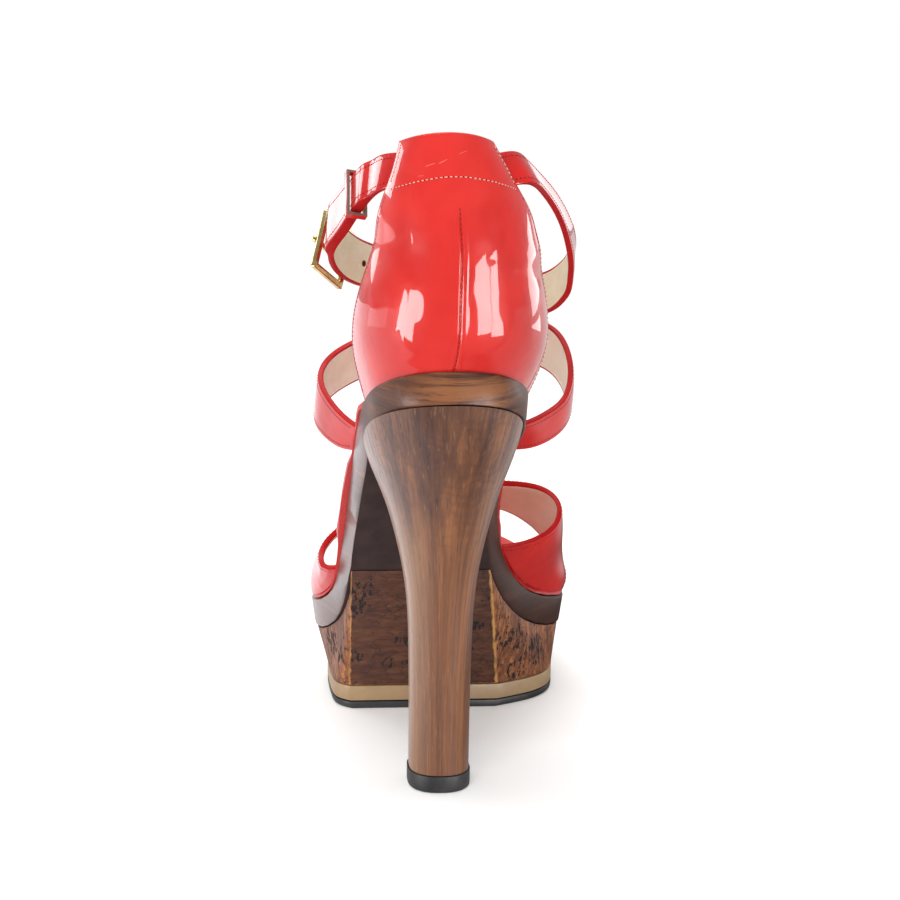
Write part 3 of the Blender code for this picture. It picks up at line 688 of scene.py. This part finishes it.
def sewLine(runs, surface, pieceName, thread, slot, lift=0.0):
    # thread in short arcs over the surface, with a dark disc after each as painted shade for a needle hole
    vertices, faces, painted = [], [], []
    sides, rings, radius = stitch["sides"], stitch["rings"], stitch["radius"]
    turns = [2 * pi * side / sides for side in range(sides)]
    for run in runs:
        for middle, along in evenSteps(run, stitch["pitch"]):
            hit, where, normal, index = surface.closest_point_on_mesh(middle)
            across = normal.cross(along).normalized()
            along = across.cross(normal)
            first = len(vertices)
            for ring in range(rings):
                share = 2 * ring / (rings - 1) - 1
                girth = radius * sqrt(max(0.12, 1 - share**4))
                centre = where + along * (share * stitch["length"] / 2)
                centre += normal * (lift + radius * 0.5 * (1 - share**2) - stitch["dip"] * share**2)
                vertices += [centre + (across * cos(turn) + normal * sin(turn)) * girth for turn in turns]
            faces += tubeFaces(first, rings, sides)
            faces.append(tuple(first + side for side in reversed(range(sides))))
            faces.append(tuple(first + (rings - 1) * sides + side for side in range(sides)))
            painted += [0] * ((rings - 1) * sides + 2)
            hit, where, normal, index = surface.closest_point_on_mesh(where + along * stitch["pitch"] / 2)
            first = len(vertices)
            for turn in turns:
                spoke = along * cos(turn) * 1.3 + across * sin(turn)
                vertices.append(where + spoke * stitch["hole"] + normal * stitch["holeLift"])
            faces.append(tuple(first + side for side in reversed(range(sides))))
            painted.append(1)
    loosePiece(pieceName, slot, vertices, faces, painted, thread, needleHole)


def insetRuns(piece, slot, margin, shortest):
    # lines that run inside the border of the faces painted with a slot, split at its corners
    editPiece(piece)
    pick(piece, lambda face: face.material_index == slot)
    bpy.ops.mesh.duplicate()
    bpy.ops.mesh.separate(type="SELECTED")
    deselectAll()
    guide = [one for one in bpy.context.scene.objects if one.name.startswith(piece.name + ".")][0]
    editPiece(guide)
    bpy.ops.mesh.select_all(action="SELECT")
    bpy.ops.mesh.inset(thickness=margin, depth=0.0, use_boundary=True, use_even_offset=True)
    shape = bmesh.from_edit_mesh(guide.data)
    rim = [edge for edge in shape.edges if sum(face.select for face in edge.link_faces) == 1]
    follow = {}
    for edge in rim:
        for corner in edge.verts:
            follow.setdefault(corner.index, []).append(edge.other_vert(corner).index)
    where = {corner.index: corner.co.copy() for edge in rim for corner in edge.verts}
    runs, seen = [], set()
    for start in follow:
        if start in seen:
            continue
        loop, here = [], start
        while here is not None:
            seen.add(here)
            loop.append(here)
            here = next((other for other in follow[here] if other not in seen), None)
        runs += splitAtCorners([where[index] for index in loop], shortest)
    bpy.ops.object.mode_set(mode="OBJECT")
    bpy.data.objects.remove(guide, do_unlink=True)
    return runs


def splitAtCorners(loop, shortest, sharpest=50):
    count = len(loop)
    corners = []
    for i in range(count):
        before = loop[i] - loop[i - 1]
        after = loop[(i + 1) % count] - loop[i]
        if before.length > 0 and after.length > 0 and before.angle(after) > radians(sharpest):
            corners.append(i)
    if not corners:
        return [loop + loop[:1]]
    pieces = []
    for start, end in zip(corners, corners[1:] + [corners[0] + count]):
        run = [loop[i % count] for i in range(start, end + 1)]
        if sum((b - a).length for a, b in zip(run, run[1:])) > shortest:
            pieces.append(run)
    return pieces


# closed back

backSizes = {
    "skin": 1.2 * mm,
    "lining": 0.7 * mm,
    "heart": Vector((1.5 * mm, 8 * mm, 0)),
    "tabSpace": 3.2 * mm,  # room for the ankle strap between the tab and the lining
    "stitchMargin": 1.5 * mm,
    "tuck": 1.0 * mm,
    "topZ": 205 * mm,
    "footZ": 155 * mm,
    "seamTop": 192 * mm,
    "fold": [(0.9 * mm, 0.1 * mm), (2.0 * mm, -0.3 * mm), (1.8 * mm, -0.8 * mm), (0.3 * mm, -5 * mm)],
}


def outFromHeart(face):
    away = face.calc_center_median() - backSizes["heart"]
    away.z = 0
    return face.normal.dot(away.normalized())


def sideRuns(runs):
    # keeps the runs that climb, and drops the ones along the top and the sole
    def climb(run):
        heights = [point.z for point in run]
        return max(heights) - min(heights)
    return [run for run in runs if climb(run) > 45 * mm]


def inward(point):
    aim = backSizes["heart"] - point
    aim.z = 0
    return aim.normalized()


def outerSheet(pieceName):
    # the outer side of the closed back as an open sheet
    sheet = copyNode("counter", pieceName)
    useFinishes(sheet, backPatent, turnedEdge)
    editPiece(sheet)
    linkedFrom(sheet, lambda face: outFromHeart(face) + (1 if face.calc_center_median().z < 170 * mm else 0))
    bpy.ops.mesh.select_all(action="INVERT")
    bpy.ops.mesh.delete(type="FACE")
    deselectAll()
    return sheet


def growRim(piece, wanted, moves):
    # extrudes the chosen border edges, once for each (inward, up) move
    for inside, up in moves:
        editPiece(piece, "EDGE")
        pick(piece, lambda edge: edge.is_boundary and wanted(edge), "edges")
        bpy.ops.mesh.extrude_edges_indiv()
        lift = Vector((0, 0, up))
        moveCorners(piece, lambda corner: inward(corner.co) * inside + lift if corner.select else None)
    deselectAll()


def isTop(edge):
    first, second = edge.verts
    level = abs(first.co.z - second.co.z) < 0.6 * edge.calc_length()
    return level and min(first.co.z, second.co.z) > backSizes["topZ"]


def isTabCorner(corner):
    rim = [edge for edge in corner.link_edges if edge.is_boundary]
    return len(rim) == 2 and isTop(rim[0]) != isTop(rim[1]) and corner.co.z > 200 * mm


def onTabMiddle(corner):
    flat = corner.normal.y < -0.5 and corner.normal.z < 0.62
    return flat and not corner.is_boundary and corner.co.z > 184 * mm and abs(corner.co.x) < 11 * mm


def onSideBorder(face):
    middle = face.calc_center_median()
    rim = [edge for edge in face.edges if edge.is_boundary]
    return any(not isTop(edge) and not isFoot(edge) for edge in rim) and abs(middle.x) > 10 * mm


def isFoot(edge):
    first, second = edge.verts
    level = abs(first.co.z - second.co.z) < 0.8 * edge.calc_length()
    return level and max(first.co.z, second.co.z) < backSizes["footZ"]


# the centre-back line leans a little from the sole to the top: z, x in mm
seamLean = [
    (120, 0.3), (142, 0.8), (147, 1.65), (154, 2.15), (165, 2.25), (178, 2.55), (190, 1.85), (199.4, 1.4),
    (213, -0.1), (220, -0.5),
]


def seamX(z):
    return between(seamLean, z / mm)[0] * mm


def onTabCentre(corner):
    return corner.co.z > 187 * mm and abs(corner.co.x) < 9 * mm and not corner.is_boundary


def broadenTab(corner):
    # wider at the fold and below it, and leaning to the outer side at the top
    x, z = corner.co.x / mm, corner.co.z / mm
    broad = x * 0.075 * hump(z, 196, 16)
    inner = 1.8 * hump(z, 182, 13) * max(0.0, x / 20)
    outer = 1.2 * hump(z, 188, 11) * max(0.0, -x / 18)
    return Vector((broad + inner - outer - 1.1 * rise(z, 188, 212), 0, 0)) * mm


def shapeTab(sheet):
    # evens out the middle of the tab, then broadens it
    editPiece(sheet, "VERT")
    pick(sheet, onTabCentre, "verts")
    bpy.ops.mesh.vertices_smooth(factor=0.5, repeat=4)
    moveCorners(sheet, broadenTab)
    deselectAll()


def makeBack():
    skin = outerSheet("backSkin")
    lining = outerSheet("backLining")
    for sheet in (skin, lining):
        shapeTab(sheet)
    edgeRuns = sideRuns(insetRuns(skin, 0, backSizes["stitchMargin"], 40 * mm))
    editPiece(skin, "EDGE")
    pick(skin, lambda edge: edge.is_boundary and isTop(edge), "edges")
    bpy.ops.transform.edge_crease(value=0.8)
    editPiece(skin, "VERT")
    pick(skin, isTabCorner, "verts")
    bpy.ops.transform.vert_crease(value=1.0)
    growRim(skin, isTop, backSizes["fold"])
    growRim(skin, isFoot, [(0.25 * mm, -backSizes["tuck"])])
    smoothOver(skin, 2)
    editPiece(skin, "VERT")
    pick(skin, onTabMiddle, "verts")
    bpy.ops.mesh.vertices_smooth(factor=0.5, repeat=40)
    bpy.ops.mesh.select_mode(type="FACE")
    pick(skin, onSideBorder)
    paintSelected(skin, 1)
    editPiece(skin)
    pick(skin, nearSeam)
    bpy.ops.mesh.subdivide(number_cuts=3, smoothness=0.0)
    moveCorners(skin, sinkSeam)
    moveCorners(skin, pressDents)
    deselectAll()
    applyModifier(skin, "SOLIDIFY", thickness=backSizes["skin"], offset=-1.0, material_offset_rim=1)
    shade(skin)
    settle(skin, "counter", "counter")

    useFinishes(lining, paleLining)
    editPiece(lining)
    moveCorners(lining, insideSkin)
    deselectAll()
    growRim(lining, isFoot, [(0.2 * mm, -backSizes["tuck"])])
    smoothOver(lining, 2)
    applyModifier(lining, "SOLIDIFY", thickness=backSizes["lining"], offset=-1.0)
    shade(lining)
    settle(lining, "counter")
    return skin, edgeRuns


def nearSeam(face):
    middle = face.calc_center_median()
    return middle.y < 0 and abs(middle.x - seamX(middle.z)) < 3.2 * mm and middle.z < 195 * mm


def insideSkin(corner):
    # the lining lies on the skin, and leaves it under the tab to let the ankle strap through
    climb = rise(corner.co.z, 186 * mm, 195 * mm)
    climb = climb * climb * (3 - 2 * climb)
    return -corner.normal * (backSizes["skin"] + 0.05 * mm + climb * backSizes["tabSpace"])


def sinkSeam(corner):
    # a narrow groove down the middle, with the leather pulled up beside it
    below = backSizes["seamTop"] - corner.co.z
    aside = abs(corner.co.x - seamX(corner.co.z)) / mm
    if corner.co.y > 0 or below < 0 or aside >= 3:
        return None
    groove = -0.42 * hump(aside, 0, 0.55)
    ridge = 0.14 * hump(aside, 1.25, 0.8)
    return -inward(corner.co) * (groove + ridge) * rise(below, 0, 6 * mm) * mm


# soft dents and swells in the lacquered back, seen from behind: x, z, half width, half height, depth in mm
backDents = [
    (9.0, 167.0, 3.2, 4.5, 0.16),
    (13.0, 172.5, 3.6, 3.6, -0.14),
    (12.5, 160.0, 3.0, 6.0, -0.10),
    (-11.0, 160.0, 3.4, 8.0, 0.20),
    (-14.5, 168.0, 3.6, 5.0, -0.18),
    (-6.5, 166.0, 2.4, 3.2, 0.10),
    (5.2, 158.0, 1.3, 8.0, 0.12),
    (-1.6, 156.5, 1.1, 7.0, 0.12),
    (19.0, 168.0, 3.0, 9.0, 0.14),
    (-20.0, 158.0, 4.0, 9.0, 0.12),
    (6.0, 145.0, 12.0, 3.0, 0.14),
    (-12.0, 145.0, 9.0, 3.0, 0.12),
]


def pressDents(corner):
    if corner.co.y > 0:
        return None
    press = 0.0
    for x, z, width, height, depth in backDents:
        aside, above = (corner.co.x / mm - x) / width, (corner.co.z / mm - z) / height
        press += depth * max(0.0, 1 - aside**2 - above**2) ** 2
    return inward(corner.co) * press * mm


def onBack(skin, turn, height):
    # the point of the back's outer face at a turn round the heel, in degrees, and a height
    out = Vector((sin(radians(turn)), -cos(radians(turn)), 0))
    start = backSizes["heart"] + out * (90 * mm) + Vector((0, 0, height))
    hit, where, normal, index = skin.ray_cast(start, -out)
    return where if hit else None


def foldRun(skin):
    # the line under the tab's fold, lower towards its sides
    run = []
    for turn in range(-86, 87, 2):
        height = 199.0 * mm
        for again in range(3):
            where = onBack(skin, turn, height)
            if where is None:
                break
            height = (200.4 - 6.2 * rise(where.y, -24 * mm, -11 * mm) ** 0.8) * mm
        if where is not None:
            run.append(where)
    return run


def seamRun(skin):
    run = []
    for height in range(134, 192, 2):
        start = Vector((seamX(height * mm), -90 * mm, height * mm))
        hit, where, normal, index = skin.ray_cast(start, Vector((0, 1, 0)))
        if hit:
            run.append(where)
    return run


backSkin, edgeRuns = makeBack()
tabRuns = [[point for point in run if point.z > 195 * mm] for run in edgeRuns]
wallRuns = [[point for point in run if point.z < 194 * mm] for run in edgeRuns]
sewLine(tabRuns + [foldRun(backSkin)], backSkin, "backStitches", redThread, "counter")
sewLine(wallRuns, backSkin, "backEdgeStitches", strapThread, "counter", stitch["sunk"])
sewLine([seamRun(backSkin)], backSkin, "seamStitches", strapThread, "counter", stitch["raised"])
print("closed back sewn", len(backSkin.data.polygons), "faces", len(edgeRuns), "edge runs")


# straps

# heart is a point inside the strap's arch, and shortest the least length of a run of stitches, in mm
strapFacts = {
    "ankleStrap": {"node": "ankle_strap", "heart": (5, 28, 178), "lining": paleLining, "shortest": 40},
    "instepStrap": {"node": "instep_strap", "heart": (5, 48, 104), "lining": brightLining, "shortest": 40},
    "toeStrap": {"node": "toe_strap", "heart": (8, 95, 38), "lining": warmLining, "shortest": 62},
}
strapSizes = {"border": 0.8 * mm, "margin": 1.7 * mm, "round": 0.55 * mm}


def makeStrap(pieceName):
    facts = strapFacts[pieceName]
    heart = Vector(facts["heart"]) * mm
    strap = copyNode(facts["node"], pieceName)
    useFinishes(strap, redPatent, turnedEdge, facts["lining"])

    def outwards(face):
        return face.normal.dot((face.calc_center_median() - heart).normalized())

    editPiece(strap)
    bpy.ops.mesh.select_all(action="SELECT")
    paintSelected(strap, 1)
    linkedFrom(strap, outwards)
    paintSelected(strap, 0)
    linkedFrom(strap, lambda face: -outwards(face))
    bpy.ops.mesh.inset(thickness=strapSizes["border"], depth=0.0)
    paintSelected(strap, 2)
    deselectAll()
    runs = insetRuns(strap, 0, strapSizes["margin"], facts["shortest"] * mm)
    editPiece(strap, "EDGE")
    roundSharp(strap, strapSizes["round"], 2)
    deselectAll()
    smoothOver(strap, 2)
    shade(strap)
    settle(strap, facts["node"], facts["node"])
    sewLine(runs, strap, pieceName + "Stitches", strapThread, facts["node"], stitch["sunk"])
    print(pieceName, "sewn,", len(strap.data.polygons), "faces,", len(runs), "runs of stitches")
    return strap


ankleStrap = makeStrap("ankleStrap")
makeStrap("instepStrap")
makeStrap("toeStrap")


# timber, cork and rubber

def dressNode(nodeName, pieceName, finishes, width, segments=2, angle=40, levels=0, paint=None, reshape=None):
    # a node's own shape with its edges rounded by width, or creased where width is 0
    piece = copyNode(nodeName, pieceName)
    useFinishes(piece, *finishes)
    editPiece(piece)
    if reshape:
        moveCorners(piece, reshape)
    if width:
        roundSharp(piece, width, segments)
    else:
        bpy.ops.mesh.select_mode(type="EDGE")
        pick(piece, lambda edge: not edge.smooth, "edges")
        bpy.ops.transform.edge_crease(value=1.0)
    if paint:
        bpy.ops.mesh.select_mode(type="FACE")
        pick(piece, paint)
        paintSelected(piece, 1)
    deselectAll()
    if levels:
        smoothOver(piece, levels)
    shade(piece, angle)
    settle(piece, nodeName, nodeName)
    print(pieceName, "dressed,", len(piece.data.polygons), "faces")


def swellHeel(corner):
    # moves the heel's upper wall out level, to make up for what smoothing takes off
    walls = [face.normal for face in corner.link_faces if abs(face.normal.z) < 0.75]
    if not walls:
        return None
    out = sum(walls, Vector())
    out.z = 0
    return out.normalized() * 0.32 * mm * rise(corner.co.z, 70 * mm, 115 * mm)


# how far the insole's edge is spread outwards: y, outer side, inner side, in mm
insoleSpread = [
    (-30, 0, 0), (12, 0, 0), (18, 0.1, 0), (21, 0.3, -0.3), (22.5, 2.6, 2.2), (24, 3.0, 2.5), (30, 2.9, 2.7),
    (33, 2.9, 2.4), (36.5, 3.1, 2.6), (38, 0.6, 0.2), (42, 0.9, -0.1), (48, 1.4, 0.4), (54, 1.5, 0.4),
    (57.5, 1.6, 0.3), (60, 2.6, 1.2), (63, 3.7, 2.4), (66, 3.7, 3.0), (69, 3.4, 2.7), (75, 3.2, 2.7),
    (84, 3.0, 2.5), (90, 2.5, 2.4), (114, 2.3, 2.3), (119, 0, 0), (170, 0, 0),
]


def spreadInsole(corner):
    outer, inner = between(insoleSpread, corner.co.y / mm)
    return Vector((-outer if corner.co.x < 3 * mm else inner, 0, 0)) * mm


# how far the lower outer edge of the board, and the cork's corner under it, stand out: y, amount, in mm
waistSpread = [
    (-40, 0), (16, 0), (25, 0.5), (41, 1.2), (48, 1.6), (54, 1.5), (60, 1.3), (66, 1.1), (74, 0.8), (84, 0),
    (170, 0),
]


def waistOut(point):
    return Vector((-between(waistSpread, point.y / mm)[0] * mm, 0, 0))


def spreadWaist(corner):
    under = any(face.normal.z < -0.4 or face.normal.y < -0.9 for face in corner.link_faces)
    return waistOut(corner.co) if under and corner.co.x < -6 * mm else None


def corkCorners():
    # the two upright rear corners of the platform, read from its own mesh
    points = [corner.co.copy() for corner in nodes["platform"].data.vertices]
    lines = []
    for sign in (-1, 1):
        side = [point for point in points if (point.x - 8 * mm) * sign > 0]
        top = max(side, key=lambda point: point.z - 0.2 * point.y)
        foot = min(side, key=lambda point: point.z * 3 + point.y)
        if sign < 0:
            top, foot = top + waistOut(top), foot + waistOut(foot)
        lines.append((top, foot))
    return lines


def isUnderside(face):
    return face.normal.z < -0.45 and abs(face.normal.x) < 0.5


corners = corkCorners()
corkSides = corkSkin("corkSides", corners, 0.0, corkFlecks["sides"], (1.0, 1.0, 0.14))
corkRear = corkSkin("corkRear", corners, 0.80, corkFlecks["rear"], (0.22, 0.22, 1.0))
rubber = blackRubber()
dressNode("heel", "heel.timber", [heelTimber()], 0.0, angle=None, levels=2, reshape=swellHeel)
# the board's downward faces take the painted shade of the underside
dressNode("wood_sole", "board.timber", [boardTimber(), boardUnder()], 0.3 * mm,
          paint=isUnderside, reshape=spreadWaist)
dressNode("platform", "platform.cork", [corkSides, corkRear], 0.5 * mm, 3,
          paint=lambda face: face.normal.y < -0.9, reshape=spreadWaist)
dressNode("midsole", "midsole.layer", [tanLayer()], 0.4 * mm)
dressNode("outsole", "outsole.rubber", [rubber], 0.5 * mm)
dressNode("heel_tip", "heelTip.rubber", [rubber], 0.35 * mm)
dressNode("insole", "insole.leather", [insoleLeather()], 0.0, reshape=spreadInsole)


# metal and keeper

brass = paleBrass()
dressNode("buckle_frame", "buckleFrame.brass", [brass], 0.5 * mm, 4, angle=50)
dressNode("buckle_prong", "bucklePin.brass", [brass], 0.4 * mm, 3, angle=50)
strapRun = Vector((-0.30, 0.82, -0.48)).normalized()  # the way the strap runs through the keeper
keeperPoints = {tuple(corner.co) for corner in nodes["keeper"].data.vertices}
keeperMiddle = sum((Vector(point) for point in sorted(keeperPoints)), Vector()) / len(keeperPoints)


def slimKeeper(corner):
    # draws the loop together along the strap
    return -strapRun * (corner.co - keeperMiddle).dot(strapRun) * 0.5


dressNode("keeper", "keeper.leather", [redPatent, cutEdge()], 0.22 * mm, 3,
          paint=lambda face: abs(face.normal.dot(strapRun)) > 0.7, reshape=slimKeeper)


# punched holes

holeFacts = {
    "places": [(-22.3, 53.7, 161.3), (-16.4, 58.8, 158.9), (-10.2, 62.8, 157.0)],
    "profile": [(1.10, 0.00), (1.00, 0.10), (0.88, 0.10), (0.78, 0.03), (0.30, 0.02)],
    "sides": 18,
}


def punchHoles(strap):
    # a pressed rim and a dark middle on both faces of the strap, the middle painted shade for the open hole
    vertices, faces, painted = [], [], []
    profile, sides = holeFacts["profile"], holeFacts["sides"]
    rings = len(profile)
    for place in holeFacts["places"]:
        middle = Vector(place) * mm
        hit, where, normal, index = strap.closest_point_on_mesh(middle)
        for side in (1, -1):
            hit, where, out, index = strap.ray_cast(middle + normal * side * 12 * mm, -normal * side)
            if not hit:
                continue
            across = out.orthogonal().normalized()
            up = out.cross(across)
            first = len(vertices)
            for radius, height in profile:
                for turn in range(sides):
                    angle = 2 * pi * turn / sides
                    spoke = across * cos(angle) + up * sin(angle)
                    vertices.append(where + spoke * radius * mm + out * height * mm)
            vertices.append(where + out * profile[-1][1] * mm)
            faces += tubeFaces(first, rings, sides)
            painted += [int(ring > 1) for ring in range(rings - 1) for turn in range(sides)]
            last = first + (rings - 1) * sides
            for turn in range(sides):
                faces.append((last + turn, last + (turn + 1) % sides, len(vertices) - 1))
                painted.append(1)
    loosePiece("strapHoles", "ankle_strap", vertices, faces, painted, turnedEdge, strapHole)
    print("holes punched,", len(faces), "faces")


punchHoles(ankleStrap)


# floor, light and camera

floorFacts = {"size": 3.0, "rise": 1.6, "bend": 0.5, "split": -0.13, "fade": (0.30, 0.80)}


def addPlane(name, finish):
    deselectAll()
    bpy.ops.mesh.primitive_plane_add(size=floorFacts["size"], location=(0, 0, -0.05 * mm))
    plane = bpy.context.view_layer.objects.active
    plane.name = name
    bpy.ops.object.transform_apply(location=True, rotation=True, scale=True)
    useFinishes(plane, finish.material)
    return plane


def makeFloor():
    # a pale sweep: flat under the shoe, turned up into a wall well behind it
    finish = Finish("paleFloor", Roughness=0.6, Specular_IOR_Level=0.2, Emission_Strength=1.0)
    x, y, z = finish.axes()
    far = (x**2 + (y - 0.05) ** 2) ** 0.5
    far = far.step(*floorFacts["fade"])
    cloud = finish.noise(0.4, detail=2.0)
    near = finish.mix(cloud, (0.84, 0.84, 0.84, 1), (0.88, 0.88, 0.87, 1))
    finish.feed("Base Color", finish.mix(far, near, (0, 0, 0, 1)))
    finish.feed("Emission Color", finish.mix(far, (0.22, 0.21, 0.20, 1), (1.0, 1.0, 1.0, 1)))
    floor = addPlane("floor", finish)
    editPiece(floor, "EDGE")
    pick(floor, lambda edge: all(corner.co.y > 1 for corner in edge.verts), "edges")
    bpy.ops.mesh.extrude_region_move(TRANSFORM_OT_translate={"value": (0, 0, floorFacts["rise"])})
    pick(floor, lambda edge: all(corner.co.y > 1 and corner.co.z < 0.1 for corner in edge.verts), "edges")
    bpy.ops.mesh.bevel(offset=floorFacts["bend"], segments=24, profile=0.5, affect="EDGES")
    shade(floor)
    floor.visible_glossy = False

    # what the lacquer mirrors: bright on the outer side, dim where the other shoe would stand
    finish = Finish("mirroredFloor", Roughness=1.0, Specular_IOR_Level=0.0, Emission_Strength=1.0,
                    Base_Color=(0, 0, 0, 1))
    x, y, z = finish.axes()
    shown = finish.mix(x.step(-0.12, 0.08), (1.45, 1.44, 1.50, 1), (0.12, 0.10, 0.10, 1))
    finish.feed("Emission Color", finish.mix(x.step(0.11, 0.16), shown, (0.75, 0.72, 0.72, 1)))
    mirrored = addPlane("floorMirrored", finish)
    editPiece(mirrored, "EDGE")
    bpy.ops.mesh.select_all(action="SELECT")
    bpy.ops.mesh.bisect(plane_co=(0, floorFacts["split"], 0), plane_no=(0, 1, 0), clear_inner=True)
    deselectAll()
    mirrored.visible_camera = False
    mirrored.visible_diffuse = False
    mirrored.visible_shadow = False


aim = Vector((4, 20, 106)) * mm
lightFacts = {
    "overhead": {"at": (-0.1, 0.15, 1.3), "size": (1.1, 1.1), "power": 11},
    "softFront": {"at": (-0.45, -1.5, 1.15), "size": (1.0, 0.8), "power": 17, "mirrored": False},
    "sweepLight": {"at": (0.0, 0.7, 1.5), "size": (2.2, 0.5), "power": 13, "aim": (0.0, 1.5, 0.4)},
}
# cards that only show as reflections in the lacquer and the metal:
# az from the heel side and el in degrees, away and size in metres, from in mm where it isn't the closed back
cardFacts = {
    "leftCard": {"az": -70, "el": -11, "away": 0.62, "size": (0.32, 0.24), "glow": 16, "roll": -22,
                 "panes": 2},
    "rightCard": {"az": 45, "el": -8, "away": 0.62, "size": (0.40, 0.36), "glow": 15, "roll": 10,
                  "panes": 2},
    "rightEdgeCard": {"az": 128, "el": -2, "away": 0.7, "size": (0.28, 0.12), "glow": 4, "roll": 12},
    "rightLowCard": {"az": 126, "el": -15, "away": 0.7, "size": (0.22, 0.12), "glow": 4, "roll": 12},
    "leftEdgeCard": {"az": -116, "el": -17, "away": 0.8, "size": (0.4, 0.34), "glow": 1.0},
    "outerStrapCard": {"az": -146, "el": 1, "away": 0.13, "size": (0.06, 0.035), "glow": 3.5,
                       "from": (-32, 20, 182)},
    "tabStrapCard": {"az": -124, "el": 6, "away": 0.13, "size": (0.05, 0.026), "glow": 8,
                     "from": (-21, -1, 199)},
    "innerStrapCard": {"az": 157, "el": 1, "away": 0.7, "size": (0.26, 0.12), "glow": 1.1},
}
backMiddle = (2, -26, 160)


def addLamp(name, place, size, power, target, roll=0.0):
    data = bpy.data.lights.new(name, "AREA")
    data.shape = "RECTANGLE"
    data.size, data.size_y = size
    data.energy = power
    lamp = bpy.data.objects.new(name, data)
    lamp.location = place
    look = (Vector(target) - Vector(place)).to_track_quat("-Z", "Y").to_matrix()
    lamp.rotation_euler = (look @ Matrix.Rotation(radians(roll), 3, "Z")).to_euler()
    bpy.context.scene.collection.objects.link(lamp)
    return lamp


def makeLights():
    for name, facts in lightFacts.items():
        lamp = addLamp(name, facts["at"], facts["size"], facts["power"], facts.get("aim", aim))
        lamp.visible_glossy = facts.get("mirrored", True)
    for name, facts in cardFacts.items():
        back = Vector(facts.get("from", backMiddle)) * mm
        turn, climb = radians(facts["az"]), radians(facts["el"])
        out = Vector((sin(turn) * cos(climb), -cos(turn) * cos(climb), sin(climb)))
        aside = Vector((cos(turn), sin(turn), 0))
        panes = facts.get("panes", 1)
        width, height = facts["size"][0] / panes, facts["size"][1]
        for pane in range(panes):
            offset = (pane - (panes - 1) / 2) * width
            size = (width * (0.93 if panes > 1 else 1.0), height)
            lamp = addLamp(f"{name}{pane}", back + out * facts["away"] + aside * offset, size,
                           facts["glow"] * pi * size[0] * size[1], back, facts.get("roll", 0.0))
            lamp.visible_diffuse = False
            lamp.visible_camera = False
    room = Room("softRoom")
    dim = room.add("ShaderNodeBackground", {}, {"Color": (0.95, 0.97, 1.0, 1), "Strength": 0.36})
    pale = room.add("ShaderNodeBackground", {}, {"Color": (1.0, 1.0, 1.0, 1)})
    seen = room.add("ShaderNodeLightPath", output="Is Camera Ray")
    room.feed("Surface", room.add("ShaderNodeMixShader", {}, {0: seen, 1: dim, 2: pale}))
    bpy.context.scene.world = room.world
    bpy.context.scene.view_settings.view_transform = "Standard"


cameraFacts = {"away": 810 * mm, "height": 301.5 * mm, "turn": -5.0, "roll": 0.8, "lens": 105.84,
               "sensor": 36.0}


def makeCamera():
    data = bpy.data.cameras.new("photoView")
    data.lens = cameraFacts["lens"]
    data.sensor_width = cameraFacts["sensor"]
    data.clip_end = 50.0
    view = bpy.data.objects.new("photoView", data)
    turn = radians(cameraFacts["turn"])
    view.location = (cameraFacts["away"] * sin(turn), -cameraFacts["away"] * cos(turn), cameraFacts["height"])
    look = (aim - view.location).to_track_quat("-Z", "Y").to_matrix()
    view.rotation_euler = (look @ Matrix.Rotation(radians(cameraFacts["roll"]), 3, "Z")).to_euler()
    bpy.context.scene.collection.objects.link(view)
    bpy.context.scene.camera = view


makeFloor()
makeLights()
makeCamera()
print("floor, light and camera set")
